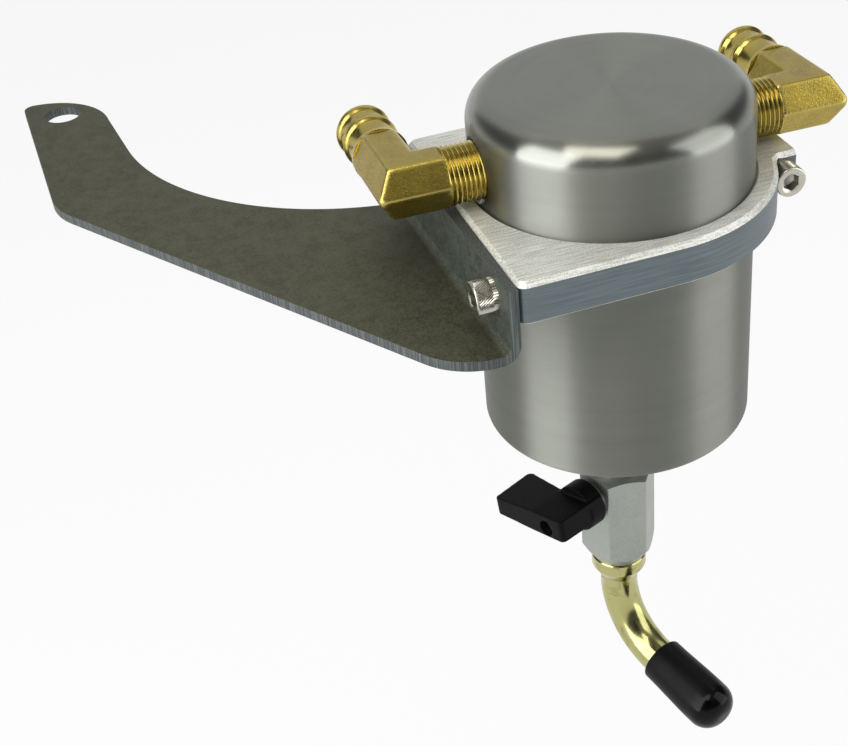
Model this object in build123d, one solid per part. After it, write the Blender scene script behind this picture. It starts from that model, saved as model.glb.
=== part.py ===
from build123d import *
import math
import os

# Oil catch can: a turned can held in a split clamp plate on a bent sheet bracket, with two
# hose elbows in the upper housing and a quarter-turn drain valve under the cup.
# Millimetres, +Z up. The pieces are built about the can's axis, with the clamp plate's top
# face at z = 0, and are moved at the end: the origin is the centre of the bracket's bolt
# hole, on the underside of the arm.

# Can
can_radius = 41.275
cap_height = 27.5
cap_edge_radius = 8.0
cap_roof = 6.0
port_wall = 6.3
skirt_wall = 3.9
cup_depth = 82.8
cup_wall = 4.0
cup_floor = 6.0
cup_edge_radius = 3.0
seam_gap = 0.3
neck_wall = 3.0
neck_clearance = 0.7
neck_root = 3.0
neck_taper = 3.0
thread_clearance = 0.3
seal_section_radius = 0.95
seal_clearance = 0.3
seal_height = 1.9
drain_boss_radius = 12.7
drain_boss_height = 10.0
fit_clearance = 0.05

# Separator inside the housing
baffle_sheet = 1.5
baffle_shoulder = 0.5
inlet_opening_radius = 11.0
inlet_opening_offset = 18.0
perforation_radius = 1.8
perforation_pitch = 7.0
perforation_edge = 5.0
divider_margin = 1.0
mesh_thickness = 5.0
mesh_margin = 4.0
ring_thickness = 1.3
ring_groove_depth = 1.2
ring_width = 3.7
ring_gap_angle = 24.0

# Clamp plate
plate_thickness = 12.7
plate_wall = 6.35
plate_back_wall = 6.35
plate_corner_radius = 3.0
plate_top_chamfer = 1.4
plate_bottom_chamfer = 0.5
bore_chamfer = 0.8
slot_width = 2.4
ear_length = 4.675
ear_half_width = 14.3
ear_fillet = 4.0
clamp_screw_edge = 4.7
clamp_screw_length = 25.4

# Socket head screws
screw_radius = 3.1
screw_clearance = 0.15
head_radius = 4.7625
head_height = 6.35
head_chamfer = 0.5
head_socket_flats = 4.76
head_socket_depth = 3.2
spot_face_margin = 0.7

# Bent sheet bracket
sheet = 3.175
bend_inner_radius = 2.5
flange_drop = 1.0
arm_drop = 20.8
flange_screw_spread = 36.5
flange_screw_drop = 7.5
flange_end_margin = 10.135
flange_screw_length = 15.875
arm_left = 154.0
arm_right = 126.6
arm_tip_radius = 25.4
arm_tip_height = 154.9
arm_tip_corner_radius = 3.5
arm_knee_height = 94.7
arm_knee_radius = 26.0
arm_heel_offset = 18.0
arm_heel_radius = 22.0
arm_throat_inset = 2.0
arm_throat_radius = 87.5
bolt_hole_radius = 6.35
bolt_hole_edge = 14.8
bolt_hole_rise = 11.9

# Hose elbows
port_turn = -1.87
port_clearance = 0.95
port_engagement = 5.775
tail_droop = 3.3
elbow_flats = 15.9
elbow_edge_radius = 1.0
elbow_heel_radius = 3.2
elbow_leg = 12.7
pipe_thread_radius = 8.55
pipe_thread_length = 14.3
elbow_bore_radius = 5.2
tail_shoulder = 23.7
tail_neck_radius = 7.35
bead_radius = 8.5
bead_count = 2
bead_start = 10.5
bead_pitch = 8.4
bead_half_width = 0.8
bead_ramp = 1.4
tail_end = 1.8

# Drain valve
valve_turn = -157.6
valve_flats = 22.225
valve_corner_angle = 30.0
valve_stand = 15.8
valve_hex_length = 30.9
valve_taper_length = 6.5
valve_end_radius = 8.7
valve_bore_radius = 7.0
valve_neck_radius = 8.3
valve_neck_height = 7.6
spigot_radius = 6.85
spigot_grip = 6.2
flow_radius = 3.6
chamber_roof = 0.6
ball_radius = 6.0
ball_clearance = 0.3
seat_height = 3.0
seat_offset = 3.8
retainer_height = 4.0
stem_radius = 2.5
stem_boss_radius = 5.2
stem_boss_reach = 17.0
stem_reach = 24.0
stem_flat = 1.8
stem_tang = 1.4
stem_tang_depth = 1.5
stem_seal_reach = 14.0
stem_seal_radius = 0.75

# Lever handle
lever_droop = 10.0
lever_face = 33.2
lever_block_gap = 3.1
lever_inner_face = 18.5
lever_tip_inner_face = 15.4
lever_length = 24.0
lever_heel = 7.5
lever_root_top = 4.6
lever_root_bottom = 3.2
lever_tip_top = 3.5
lever_tip_bottom = 2.7
lever_tip_rake = 1.5
lever_edge_radius = 1.6
hub_radius = 8.0
hub_height = 6.0
hub_gap = 2.5
socket_half_width = 6.0
handle_recess_radius = 2.7
handle_recess_depth = 4.5
handle_screw_head_radius = 2.4
handle_screw_head_height = 1.8
handle_screw_radius = 1.5
handle_screw_length = 9.0

# Drain tube and its cap
tube_turn = -72.1
tube_bend_angle = 80.0
tube_bend_radius = 23.5
tube_drop = 13.0
tube_radius = 6.3
tube_wall = 1.9
tube_spigot_length = 12.0
collar_radius = 9.2
collar_height = 4.6
collar_taper = 4.4
cap_start = 1.6
drain_cap_length = 30.3
drain_cap_wall = 1.5
drain_cap_flare = 0.6
drain_cap_end_wall = 2.6
drain_cap_dome_radius = 6.8
drain_cap_clearance = 0.1
drain_cap_end_gap = 3.3

hex_sides = 6

# Levels and radii that follow from the sizes above
arm_bottom = -arm_drop - sheet
bolt_hole_x = -arm_right - bolt_hole_edge
bolt_hole_y = arm_tip_height + bolt_hole_rise
housing_bottom = -plate_thickness
chamber_radius = can_radius - port_wall
skirt_radius = can_radius - skirt_wall
roof_level = cap_height - cap_roof
disc_top = -baffle_shoulder
disc_bottom = disc_top - baffle_sheet
ring_level = disc_bottom - ring_thickness
cup_top = housing_bottom - seam_gap
neck_top = ring_level - neck_clearance
neck_radius = skirt_radius - thread_clearance
seal_level = cup_top + seam_gap + seal_height
seal_ring_radius = skirt_radius - seal_clearance - seal_section_radius
bore_radius = can_radius + fit_clearance
nose_radius = can_radius + plate_wall
plate_back = can_radius + plate_back_wall
ear_reach = nose_radius + ear_length
clamp_screw_reach = ear_reach - clamp_screw_edge
flange_face = -plate_back - sheet
flange_end = flange_screw_spread + flange_end_margin
arm_throat_x = arm_throat_inset + arm_throat_radius - arm_right
arm_throat_y = flange_end + math.sqrt(arm_throat_radius**2 - (arm_throat_x + plate_back) ** 2)
screw_level = -plate_thickness / 2
screw_hole_radius = screw_radius + screw_clearance
boss_bottom = -cup_depth - drain_boss_height
valve_top = valve_stand - boss_bottom
valve_hex_end = valve_top + valve_hex_length
valve_bottom = valve_hex_end + valve_taper_length
spigot_length = valve_stand + spigot_grip
ball_height = valve_top + chamber_roof + seat_height + seat_offset
valve_corner_radius = valve_flats / math.sqrt(3)
lever_block_face = valve_flats / 2 + lever_block_gap
tube_bend_start = valve_bottom + tube_drop
tube_end_run = cap_start + drain_cap_length - drain_cap_end_wall - drain_cap_end_gap
drain_cap_rim_radius = tube_radius + drain_cap_clearance + drain_cap_wall
drain_cap_end_radius = drain_cap_rim_radius + drain_cap_flare
elbow_corner_radius = elbow_flats / math.sqrt(3)
port_height = pipe_thread_radius + port_clearance
elbow_reach = can_radius + elbow_leg + pipe_thread_length - port_engagement
bead_positions = [tail_shoulder + bead_start + bead_pitch * index for index in range(bead_count)]
tail_length = bead_positions[-1] + tail_end
port_frame = Pos(0, 0, port_height) * Rot(0, 0, port_turn)
separator_frame = Rot(0, 0, port_turn)


def heading(angle):
    """Level unit vector at an angle from +X, in radians."""
    return Vector(math.cos(angle), math.sin(angle), 0)


def turned(*points):
    """Solid of revolution about Z from (radius, level) points."""
    return revolve(Plane.XZ * make_face(Polyline(*points, close=True)), Axis.Z)


def rod(radius, start, end):
    """Round bar between two points."""
    axis = Vector(end) - Vector(start)
    return Part() + Solid.make_cylinder(radius, axis.length, Plane(origin=start, z_dir=axis))


def cap_screw(length):
    """Socket head screw with its head's underside at z = 0 and its shank along -Z."""
    head = rod(head_radius, (0, 0, 0), (0, 0, head_height))
    head = chamfer(head.edges().sort_by(Axis.Z)[-1:], head_chamfer)
    socket = extrude(RegularPolygon(head_socket_flats / 2, hex_sides, major_radius=False), head_socket_depth)
    shank = rod(screw_radius, (0, 0, 0), (0, 0, -length))
    return head + shank - Pos(0, 0, head_height - head_socket_depth) * socket


def make_upper_housing():
    """Turned cap with the port holes, the cup's thread bore and the ring groove."""
    groove_radius = skirt_radius + ring_groove_depth
    groove_bottom = ring_level - fit_clearance
    shell = turned(
        (0, cap_height),
        (can_radius, cap_height),
        (can_radius, housing_bottom),
        (skirt_radius, housing_bottom),
        (skirt_radius, groove_bottom),
        (groove_radius, groove_bottom),
        (groove_radius, disc_bottom),
        (skirt_radius, disc_bottom),
        (skirt_radius, disc_top),
        (chamber_radius, disc_top),
        (chamber_radius, roof_level),
        (0, roof_level),
    )
    shell = fillet(shell.edges().sort_by(Axis.Z)[-1:], cap_edge_radius)
    ports = rod(pipe_thread_radius + fit_clearance, (-2 * can_radius, 0, 0), (2 * can_radius, 0, 0))
    return shell - port_frame * ports


def perforations():
    """Centres of the disc's holes, on the outlet side of the divider."""
    limit = skirt_radius - ring_width - perforation_edge
    steps = int(limit / perforation_pitch) + 1
    for column in range(1, steps + 1):
        for row in range(-steps, steps + 1):
            x = column * perforation_pitch
            y = (row + column % 2 / 2) * perforation_pitch
            if math.hypot(x, y) < limit:
                yield x, y


def make_separator_baffle():
    """Disc under the chamber's shoulder, with an upright divider between the ports."""
    disc_radius = skirt_radius - fit_clearance
    disc = Pos(0, 0, disc_bottom) * extrude(Circle(disc_radius), baffle_sheet)
    inlet_x = -inlet_opening_offset
    disc -= rod(inlet_opening_radius, (inlet_x, 0, disc_bottom), (inlet_x, 0, disc_top))
    for x, y in perforations():
        disc -= rod(perforation_radius, (x, y, disc_bottom), (x, y, disc_top))
    divider_height = roof_level - fit_clearance - disc_top
    divider = Box(baffle_sheet, 2 * (chamber_radius - divider_margin), divider_height)
    disc += Pos(0, 0, disc_top + divider_height / 2) * divider
    return separator_frame * disc


def make_mesh_pad():
    """Half-round pad on the perforated side of the disc."""
    plan = Circle(chamber_radius - mesh_margin)
    divider_face = baffle_sheet / 2 + fit_clearance
    plan &= Pos(divider_face + can_radius, 0) * Rectangle(2 * can_radius, 2 * can_radius)
    return separator_frame * Pos(0, 0, disc_top) * extrude(plan, mesh_thickness)


def make_baffle_ring():
    """Split retaining ring in the housing's groove, under the disc."""
    outer = skirt_radius + ring_groove_depth - thread_clearance
    ring = Circle(outer) - Circle(outer - ring_width)
    gap = 2 * outer * math.tan(math.radians(ring_gap_angle / 2))
    ring -= Pos(outer, 0) * Rectangle(2 * outer, gap)
    return Pos(0, 0, ring_level) * extrude(ring, ring_thickness)


def make_lower_cup():
    """Turned cup with a threaded neck, a seal groove and a drain boss."""
    groove_bottom = seal_level - seal_section_radius - seal_clearance
    groove_top = seal_level + seal_section_radius + seal_clearance
    groove_radius = seal_ring_radius - seal_section_radius - seal_clearance
    floor_level = cup_floor - cup_depth
    cup = turned(
        (0, -cup_depth),
        (can_radius, -cup_depth),
        (can_radius, cup_top),
        (neck_radius, cup_top),
        (neck_radius, groove_bottom),
        (groove_radius, groove_bottom),
        (groove_radius, groove_top),
        (neck_radius, groove_top),
        (neck_radius, neck_top),
        (neck_radius - neck_wall, neck_top),
        (neck_radius - neck_wall, cup_top - neck_root),
        (can_radius - cup_wall, cup_top - neck_root - neck_taper),
        (can_radius - cup_wall, floor_level),
        (0, floor_level),
    )
    rim = cup.edges().filter_by(GeomType.CIRCLE).group_by(Axis.Z)[0]
    cup = fillet(rim, cup_edge_radius)
    cup += rod(drain_boss_radius, (0, 0, -cup_depth), (0, 0, boss_bottom))
    return cup - rod(spigot_radius + fit_clearance, (0, 0, boss_bottom), (0, 0, floor_level))


def make_body_seal():
    """Seal ring in the groove of the cup's neck."""
    return Part() + Pos(0, 0, seal_level) * Torus(seal_ring_radius, seal_section_radius)


def make_clamp_plate():
    """Split clamp block: flat back, round nose, two ears with a screw across the slot."""
    block = Pos(-plate_back / 2, 0) * Rectangle(plate_back, 2 * nose_radius)
    block = fillet(block.vertices().group_by(Axis.X)[0], plate_corner_radius)
    uncut_reach = ear_reach + plate_top_chamfer
    outline = block + Circle(nose_radius)
    outline += Pos(uncut_reach / 2, 0) * Rectangle(uncut_reach, 2 * ear_half_width)
    throat_x = math.sqrt(nose_radius**2 - ear_half_width**2)
    throats = [
        outline.vertices().sort_by_distance((throat_x, side * ear_half_width))[0]
        for side in (-1, 1)
    ]
    outline = fillet(throats, ear_fillet)
    plate = Pos(0, 0, -plate_thickness) * extrude(outline, plate_thickness)
    plate = chamfer(plate.faces().sort_by(Axis.Z)[-1].edges(), plate_top_chamfer)
    plate = chamfer(plate.faces().sort_by(Axis.Z)[0].edges(), plate_bottom_chamfer)
    plate = split(plate, Plane(origin=(ear_reach, 0, 0), z_dir=(-1, 0, 0)), Keep.TOP)
    plate -= turned(
        (0, -plate_thickness),
        (bore_radius, -plate_thickness),
        (bore_radius, -bore_chamfer),
        (bore_radius + bore_chamfer, 0),
        (0, 0),
    )
    plate -= Pos(ear_reach, 0, screw_level) * Box(2 * ear_reach, slot_width, 2 * plate_thickness)
    across = 2 * ear_half_width
    near_side = (clamp_screw_reach, -across, screw_level)
    plate -= rod(screw_hole_radius, near_side, (clamp_screw_reach, across, screw_level))
    seat = (clamp_screw_reach, -ear_half_width, screw_level)
    plate -= rod(head_radius + spot_face_margin, near_side, seat)
    hole_end = flange_screw_length - plate_back
    for y in (-flange_screw_spread, flange_screw_spread):
        back_face = (-plate_back, y, -flange_screw_drop)
        plate -= rod(screw_hole_radius, back_face, (hole_end, y, -flange_screw_drop))
    return plate


def make_clamp_screw():
    """Screw across the ears, its head on the -Y side."""
    seat = Plane(origin=(clamp_screw_reach, -ear_half_width, screw_level), z_dir=(0, -1, 0))
    return seat * cap_screw(clamp_screw_length)


def make_bracket_screws():
    """The two flange screws, their heads on the -X side."""
    screws = Part()
    for y in (-flange_screw_spread, flange_screw_spread):
        seat = Plane(origin=(flange_face, y, -flange_screw_drop), z_dir=(-1, 0, 0))
        screws += seat * cap_screw(flange_screw_length)
    return screws


def arm_outline():
    """Plan of the bracket: the strip along the flange and the arm that sweeps away from it."""
    heel = (-plate_back - arm_heel_offset, -nose_radius)
    knee = (-arm_left, arm_knee_height)
    tip_x = -arm_right - arm_tip_radius
    tip_corner = (-arm_left, arm_tip_height + math.sqrt(arm_tip_radius**2 - (arm_left + tip_x) ** 2))
    tip_side = (-arm_right, arm_tip_height)
    tip_middle = arm_tip_radius * math.sqrt(0.5)
    throat = Vector(arm_throat_x, arm_throat_y)
    to_tip = Vector(*tip_side) - throat
    throat_angle = math.atan2(to_tip.Y, to_tip.X) + math.acos(arm_throat_radius / to_tip.length)
    throat_start = throat + heading(throat_angle) * arm_throat_radius
    throat_end = Vector(-plate_back, flange_end)
    edge = Polyline(throat_end, (-plate_back, -nose_radius), heel, knee, tip_corner)
    edge += ThreePointArc(tip_corner, (tip_x + tip_middle, arm_tip_height + tip_middle), tip_side)
    edge += Line(tip_side, throat_start)
    edge += RadiusArc(throat_start, throat_end, -arm_throat_radius)
    plan = make_face(edge)
    plan = fillet(plan.vertices().sort_by_distance(heel)[0], arm_heel_radius)
    plan = fillet(plan.vertices().sort_by_distance(knee)[0], arm_knee_radius)
    return fillet(plan.vertices().sort_by_distance(tip_corner)[0], arm_tip_corner_radius)


def make_mounting_bracket():
    """Sheet bent into an upright flange and a flat arm, cut to its plan, with its holes."""
    reach = arm_left + sheet
    outer_corner = (-plate_back, arm_bottom)
    inner_corner = (flange_face, -arm_drop)
    section = make_face(
        Polyline(
            (-plate_back, -flange_drop),
            outer_corner,
            (-reach, arm_bottom),
            (-reach, -arm_drop),
            inner_corner,
            (flange_face, -flange_drop),
            close=True,
        )
    )
    section = fillet(section.vertices().sort_by_distance(outer_corner)[0], bend_inner_radius + sheet)
    section = fillet(section.vertices().sort_by_distance(inner_corner)[0], bend_inner_radius)
    folded = Plane.XZ * extrude(section, arm_tip_height + 2 * arm_tip_radius, both=True)
    blank = Pos(0, 0, arm_bottom) * extrude(arm_outline(), -arm_bottom)
    bracket = folded & blank
    for y in (-flange_screw_spread, flange_screw_spread):
        outer_face = (flange_face, y, -flange_screw_drop)
        bracket -= rod(screw_hole_radius, outer_face, (-plate_back, y, -flange_screw_drop))
    bolt_foot = (bolt_hole_x, bolt_hole_y, arm_bottom)
    return bracket - rod(bolt_hole_radius, bolt_foot, (bolt_hole_x, bolt_hole_y, -arm_drop))


def make_elbow_heel():
    """Upright block that keeps the forging's outer corner, rounded in plan."""
    side = -elbow_corner_radius
    plan = make_face(Polyline((0, 0), (side, 0), (side, side), (0, side), close=True))
    plan = fillet(plan.vertices().sort_by_distance((side, side))[0], elbow_heel_radius)
    return extrude(plan, amount=elbow_flats, both=True)


def make_elbow():
    """Forged elbow about its corner: pipe thread along +X, beaded hose tail along +Y."""
    section = RegularPolygon(elbow_corner_radius, hex_sides)
    section = fillet(section.vertices(), elbow_edge_radius)
    hex_end = tail_shoulder - elbow_edge_radius
    path = Polyline((elbow_leg, 0, 0), (0, 0, 0), (0, hex_end, 0))
    start = Plane(origin=(elbow_leg, 0, 0), x_dir=(0, 1, 0), z_dir=(-1, 0, 0))
    body = sweep(start * section, path=path, transition=Transition.RIGHT)
    heel = Pos(-elbow_flats, -elbow_flats, 0) * Box(2 * elbow_flats, 2 * elbow_flats, 2 * elbow_flats)
    body -= heel - make_elbow_heel()
    tail_points = [
        (0, hex_end - elbow_flats),
        (tail_neck_radius, hex_end - elbow_flats),
        (tail_neck_radius, hex_end),
        (bead_radius, hex_end),
        (bead_radius, tail_shoulder),
        (tail_neck_radius, tail_shoulder + bead_ramp),
    ]
    for place in bead_positions:
        tail_points.append((tail_neck_radius, place - bead_half_width - bead_ramp))
        tail_points.append((bead_radius, place - bead_half_width))
        tail_points.append((bead_radius, place + bead_half_width))
        tail_points.append((tail_neck_radius, place + bead_half_width + bead_ramp))
    tail_points[-1] = (tail_neck_radius, tail_length)
    tail_points.append((0, tail_length))
    tail = Rot(-90, 0, 0) * turned(*tail_points)
    thread_end = elbow_leg + pipe_thread_length
    thread = rod(pipe_thread_radius, (elbow_leg, 0, 0), (thread_end, 0, 0))
    thread = chamfer(thread.edges().sort_by(Axis.X)[-1:], bead_ramp)
    elbow = body + tail + thread
    elbow -= rod(elbow_bore_radius, (0, 0, 0), (thread_end, 0, 0))
    elbow -= rod(elbow_bore_radius, (0, 0, 0), (0, tail_length, 0))
    return elbow - Sphere(elbow_bore_radius)


def make_inlet_elbow():
    """Elbow in the -X port."""
    return port_frame * Pos(-elbow_reach, 0, 0) * Rot(-tail_droop, 0, 0) * make_elbow()


def make_outlet_elbow():
    """The same elbow in the +X port, turned over so that its tail points the same way."""
    return port_frame * Pos(elbow_reach, 0, 0) * Rot(-tail_droop, 180, 0) * make_elbow()


valve_axis = heading(math.radians(valve_turn))
ball_centre = Vector(0, 0, -ball_height)
level_lever = heading(math.radians(valve_turn - 90))
droop = math.radians(lever_droop)
lever_axis = level_lever * math.cos(droop) - Vector(0, 0, 1) * math.sin(droop)
stem_frame = Plane(origin=ball_centre, x_dir=lever_axis, z_dir=valve_axis)


def make_valve_body():
    """Hexagonal body with a turned neck, a threaded spigot and a boss round the stem."""
    corner_drop = (valve_corner_radius - valve_flats / 2) * math.tan(math.radians(valve_corner_angle))
    neck_top_level = valve_neck_height - valve_top
    envelope = turned(
        (0, -valve_top),
        (valve_flats / 2, -valve_top),
        (valve_corner_radius, -valve_top - corner_drop),
        (valve_corner_radius, -valve_hex_end),
        (valve_end_radius, -valve_bottom),
        (0, -valve_bottom),
    )
    hexagon = Rot(0, 0, valve_turn + 180 / hex_sides) * RegularPolygon(valve_corner_radius, hex_sides)
    body = Pos(0, 0, -valve_bottom) * extrude(hexagon, valve_bottom - valve_top) & envelope
    body += rod(valve_neck_radius, (0, 0, -valve_top), (0, 0, neck_top_level))
    body += rod(spigot_radius, (0, 0, neck_top_level), (0, 0, spigot_length - valve_top))
    body += stem_frame * rod(stem_boss_radius, (0, 0, 0), (0, 0, stem_boss_reach))
    chamber_top = -ball_height + seat_offset + seat_height
    body -= rod(valve_bore_radius, (0, 0, -valve_bottom), (0, 0, chamber_top))
    body -= rod(flow_radius, (0, 0, -valve_bottom), (0, 0, 0))
    body -= stem_frame * rod(stem_radius + fit_clearance, (0, 0, 0), (0, 0, stem_boss_reach))
    groove = stem_seal_radius + fit_clearance
    groove_start = (0, 0, stem_seal_reach - groove)
    groove_end = (0, 0, stem_seal_reach + groove)
    groove_radius = stem_radius + ball_clearance + 2 * groove
    return body - stem_frame * rod(groove_radius, groove_start, groove_end)


def make_seat(side):
    """Seat ring above (side 1) or below (side -1) the ball."""
    near = seat_offset
    far = seat_offset + seat_height
    outer = valve_bore_radius - fit_clearance
    ring = turned((flow_radius, near), (outer, near), (outer, far), (flow_radius, far))
    ring -= Sphere(ball_radius + ball_clearance)
    if side < 0:
        ring = Rot(180, 0, 0) * ring
    return Pos(0, 0, -ball_height) * ring


def make_seat_retainer():
    """Threaded ring that holds the seats and the ball up in the body."""
    top = -ball_height - seat_offset - seat_height
    ring = rod(valve_bore_radius - fit_clearance, (0, 0, top), (0, 0, top - retainer_height))
    return ring - rod(flow_radius, (0, 0, top), (0, 0, top - retainer_height))


def make_stem_seal():
    """Seal ring round the stem, in the boss."""
    ring_radius = stem_radius + ball_clearance + stem_seal_radius
    return stem_frame * Pos(0, 0, stem_seal_reach) * (Part() + Torus(ring_radius, stem_seal_radius))


def make_valve_ball():
    """Ball with its passage along the lever and a slot for the stem's tang."""
    ball = Part() + Sphere(ball_radius)
    ball -= rod(flow_radius, (-ball_radius, 0, 0), (ball_radius, 0, 0))
    slot_width_fit = 2 * (stem_tang + fit_clearance)
    slot = Box(2 * ball_radius, slot_width_fit, 2 * stem_tang_depth)
    ball -= Pos(0, 0, ball_radius) * slot
    return stem_frame * ball


def make_valve_stem():
    """Stem with a tang in the ball, a round journal and a flatted end under the handle."""
    tang_foot = ball_radius - stem_tang_depth + fit_clearance
    stem = rod(stem_radius, (0, 0, tang_foot), (0, 0, stem_reach))
    tang_top = ball_radius + ball_clearance
    tang_middle = (tang_foot + tang_top) / 2
    tang_keep = Pos(0, 0, tang_middle) * Box(4 * stem_radius, 2 * stem_tang, tang_top - tang_foot)
    blank = rod(2 * stem_radius, (0, 0, tang_foot), (0, 0, tang_top))
    stem -= blank - tang_keep
    flat_length = stem_reach - stem_boss_reach
    flats = rod(2 * stem_radius, (0, 0, stem_boss_reach), (0, 0, stem_reach))
    flat_middle = stem_boss_reach + flat_length / 2
    flats -= Pos(0, 0, flat_middle) * Box(2 * stem_flat, 4 * stem_radius, flat_length)
    stem -= flats
    hole_foot = lever_face - handle_recess_depth - handle_screw_length - fit_clearance
    stem -= rod(handle_screw_radius + fit_clearance, (0, 0, hole_foot), (0, 0, stem_reach))
    return stem_frame * stem


def make_valve_handle():
    """Moulded lever: a hub over the stem boss, a socket on the stem and a tapered bar."""
    hub_foot = valve_flats / 2 + hub_gap
    tip = lever_length + lever_tip_rake
    outline = make_face(
        Polyline(
            (-lever_heel, lever_block_face),
            (socket_half_width, lever_block_face),
            (socket_half_width, lever_inner_face),
            (tip, lever_tip_inner_face),
            (lever_length, lever_face),
            (-lever_heel, lever_face),
            close=True,
        )
    )
    corners = outline.vertices().group_by(Axis.Y)[-1] + outline.vertices().group_by(Axis.X)[-1]
    outline = fillet(corners, lever_edge_radius)
    profile = make_face(
        Polyline(
            (-lever_heel, lever_root_bottom),
            (socket_half_width, lever_root_bottom),
            (tip, lever_tip_bottom),
            (tip, -lever_tip_top),
            (socket_half_width, -lever_root_top),
            (-lever_heel, -lever_root_top),
            close=True,
        )
    )
    bar = Plane.XZ * extrude(outline, lever_root_top + lever_root_bottom, both=True)
    bar &= extrude(profile, lever_face)
    handle = bar + rod(hub_radius, (0, 0, hub_foot), (0, 0, hub_foot + hub_height))
    boss_room = ball_clearance + fit_clearance
    handle -= rod(stem_boss_radius + boss_room, (0, 0, hub_foot), (0, 0, stem_boss_reach + boss_room))
    socket_end = stem_reach + fit_clearance
    socket_length = socket_end - stem_boss_reach
    flats = Box(2 * (stem_flat + fit_clearance), 4 * stem_radius, socket_length)
    socket = rod(stem_radius + fit_clearance, (0, 0, stem_boss_reach), (0, 0, socket_end))
    handle -= socket & Pos(0, 0, stem_boss_reach + socket_length / 2) * flats
    handle -= rod(handle_screw_radius + screw_clearance, (0, 0, stem_reach), (0, 0, lever_face))
    recess_foot = lever_face - handle_recess_depth
    handle -= rod(handle_recess_radius, (0, 0, recess_foot), (0, 0, lever_face))
    return stem_frame * handle


def make_handle_screw():
    """Screw at the bottom of the lever's recess, into the end of the stem."""
    seat = lever_face - handle_recess_depth
    screw = rod(handle_screw_head_radius, (0, 0, seat), (0, 0, seat + handle_screw_head_height))
    screw += rod(handle_screw_radius, (0, 0, seat), (0, 0, seat - handle_screw_length))
    return stem_frame * screw


tube_heading = heading(math.radians(tube_turn))
tube_normal = tube_heading.cross(Vector(0, 0, 1))
tube_plane = Plane(origin=(0, 0, -tube_bend_start), x_dir=tube_heading, z_dir=tube_normal)
bend = math.radians(tube_bend_angle)
bend_end = Vector(tube_bend_radius * (1 - math.cos(bend)), -tube_bend_radius * math.sin(bend))
run_direction = Vector(math.sin(bend), -math.cos(bend))
cap_frame = Plane(
    origin=tube_plane.from_local_coords(bend_end + run_direction * cap_start),
    x_dir=tube_normal,
    z_dir=tube_plane.from_local_coords(run_direction) - tube_plane.origin,
)


def make_drain_tube():
    """Bent tube with a threaded spigot in the valve and a tapered collar under it."""
    collar_top = -valve_bottom - fit_clearance
    collar_bottom = collar_top - collar_height
    tangent = tube_bend_radius * math.tan(bend / 2)
    run_end = bend_end + run_direction * tube_end_run
    top_end = (0, tube_bend_start + collar_bottom)
    path = tube_plane * FilletPolyline(top_end, (0, -tangent), run_end, radius=tube_bend_radius)
    mouth = Plane(origin=(0, 0, collar_bottom), z_dir=(0, 0, -1))
    tube = sweep(mouth * Circle(tube_radius), path=path)
    bore = sweep(mouth * Circle(tube_radius - tube_wall), path=path)
    collar = turned(
        (0, collar_bottom - collar_taper),
        (tube_radius, collar_bottom - collar_taper),
        (collar_radius, collar_bottom),
        (collar_radius, collar_top),
        (valve_bore_radius - fit_clearance, collar_top),
        (valve_bore_radius - fit_clearance, collar_top + tube_spigot_length),
        (0, collar_top + tube_spigot_length),
    )
    spigot_top = (0, 0, collar_top + tube_spigot_length)
    return tube + collar - bore - rod(tube_radius - tube_wall, (0, 0, collar_bottom), spigot_top)


def make_drain_cap():
    """Push-on cap with a slight flare and a domed end."""
    inner_radius = tube_radius + drain_cap_clearance
    inner_depth = drain_cap_length - drain_cap_end_wall
    cap = turned(
        (0, 0),
        (drain_cap_rim_radius, 0),
        (drain_cap_end_radius, drain_cap_length - drain_cap_end_radius),
        (drain_cap_end_radius, drain_cap_length),
        (0, drain_cap_length),
    )
    end_edge = cap.edges().filter_by(GeomType.CIRCLE).group_by(Axis.Z)[-1]
    cap = fillet(end_edge, drain_cap_dome_radius)
    cap -= rod(inner_radius, (0, 0, 0), (0, 0, inner_depth))
    return cap_frame * cap


pieces = {
    "upper_housing": make_upper_housing(),
    "separator_baffle": make_separator_baffle(),
    "mesh_pad": make_mesh_pad(),
    "baffle_ring": make_baffle_ring(),
    "clamp_plate": make_clamp_plate(),
    "clamp_screw": make_clamp_screw(),
    "mounting_bracket": make_mounting_bracket(),
    "bracket_screws": make_bracket_screws(),
    "inlet_elbow": make_inlet_elbow(),
    "outlet_elbow": make_outlet_elbow(),
    "body_seal": make_body_seal(),
    "lower_cup": make_lower_cup(),
    "valve_body": make_valve_body(),
    "upper_seat": make_seat(1),
    "lower_seat": make_seat(-1),
    "seat_retainer": make_seat_retainer(),
    "stem_seal": make_stem_seal(),
    "valve_ball": make_valve_ball(),
    "valve_stem": make_valve_stem(),
    "valve_handle": make_valve_handle(),
    "handle_screw": make_handle_screw(),
    "drain_tube": make_drain_tube(),
    "drain_cap": make_drain_cap(),
}

to_origin = Pos(-bolt_hole_x, -bolt_hole_y, -arm_bottom)
os.makedirs("parts", exist_ok=True)
for name, piece in pieces.items():
    export_step(to_origin * piece, f"parts/{name}.step")
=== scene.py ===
"""Finished pieces, materials and studio of an oil catch can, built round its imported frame."""

import math

import bpy
from bpy.props import FloatProperty, FloatVectorProperty, IntProperty, PointerProperty
from mathutils import Matrix, Vector


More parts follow.
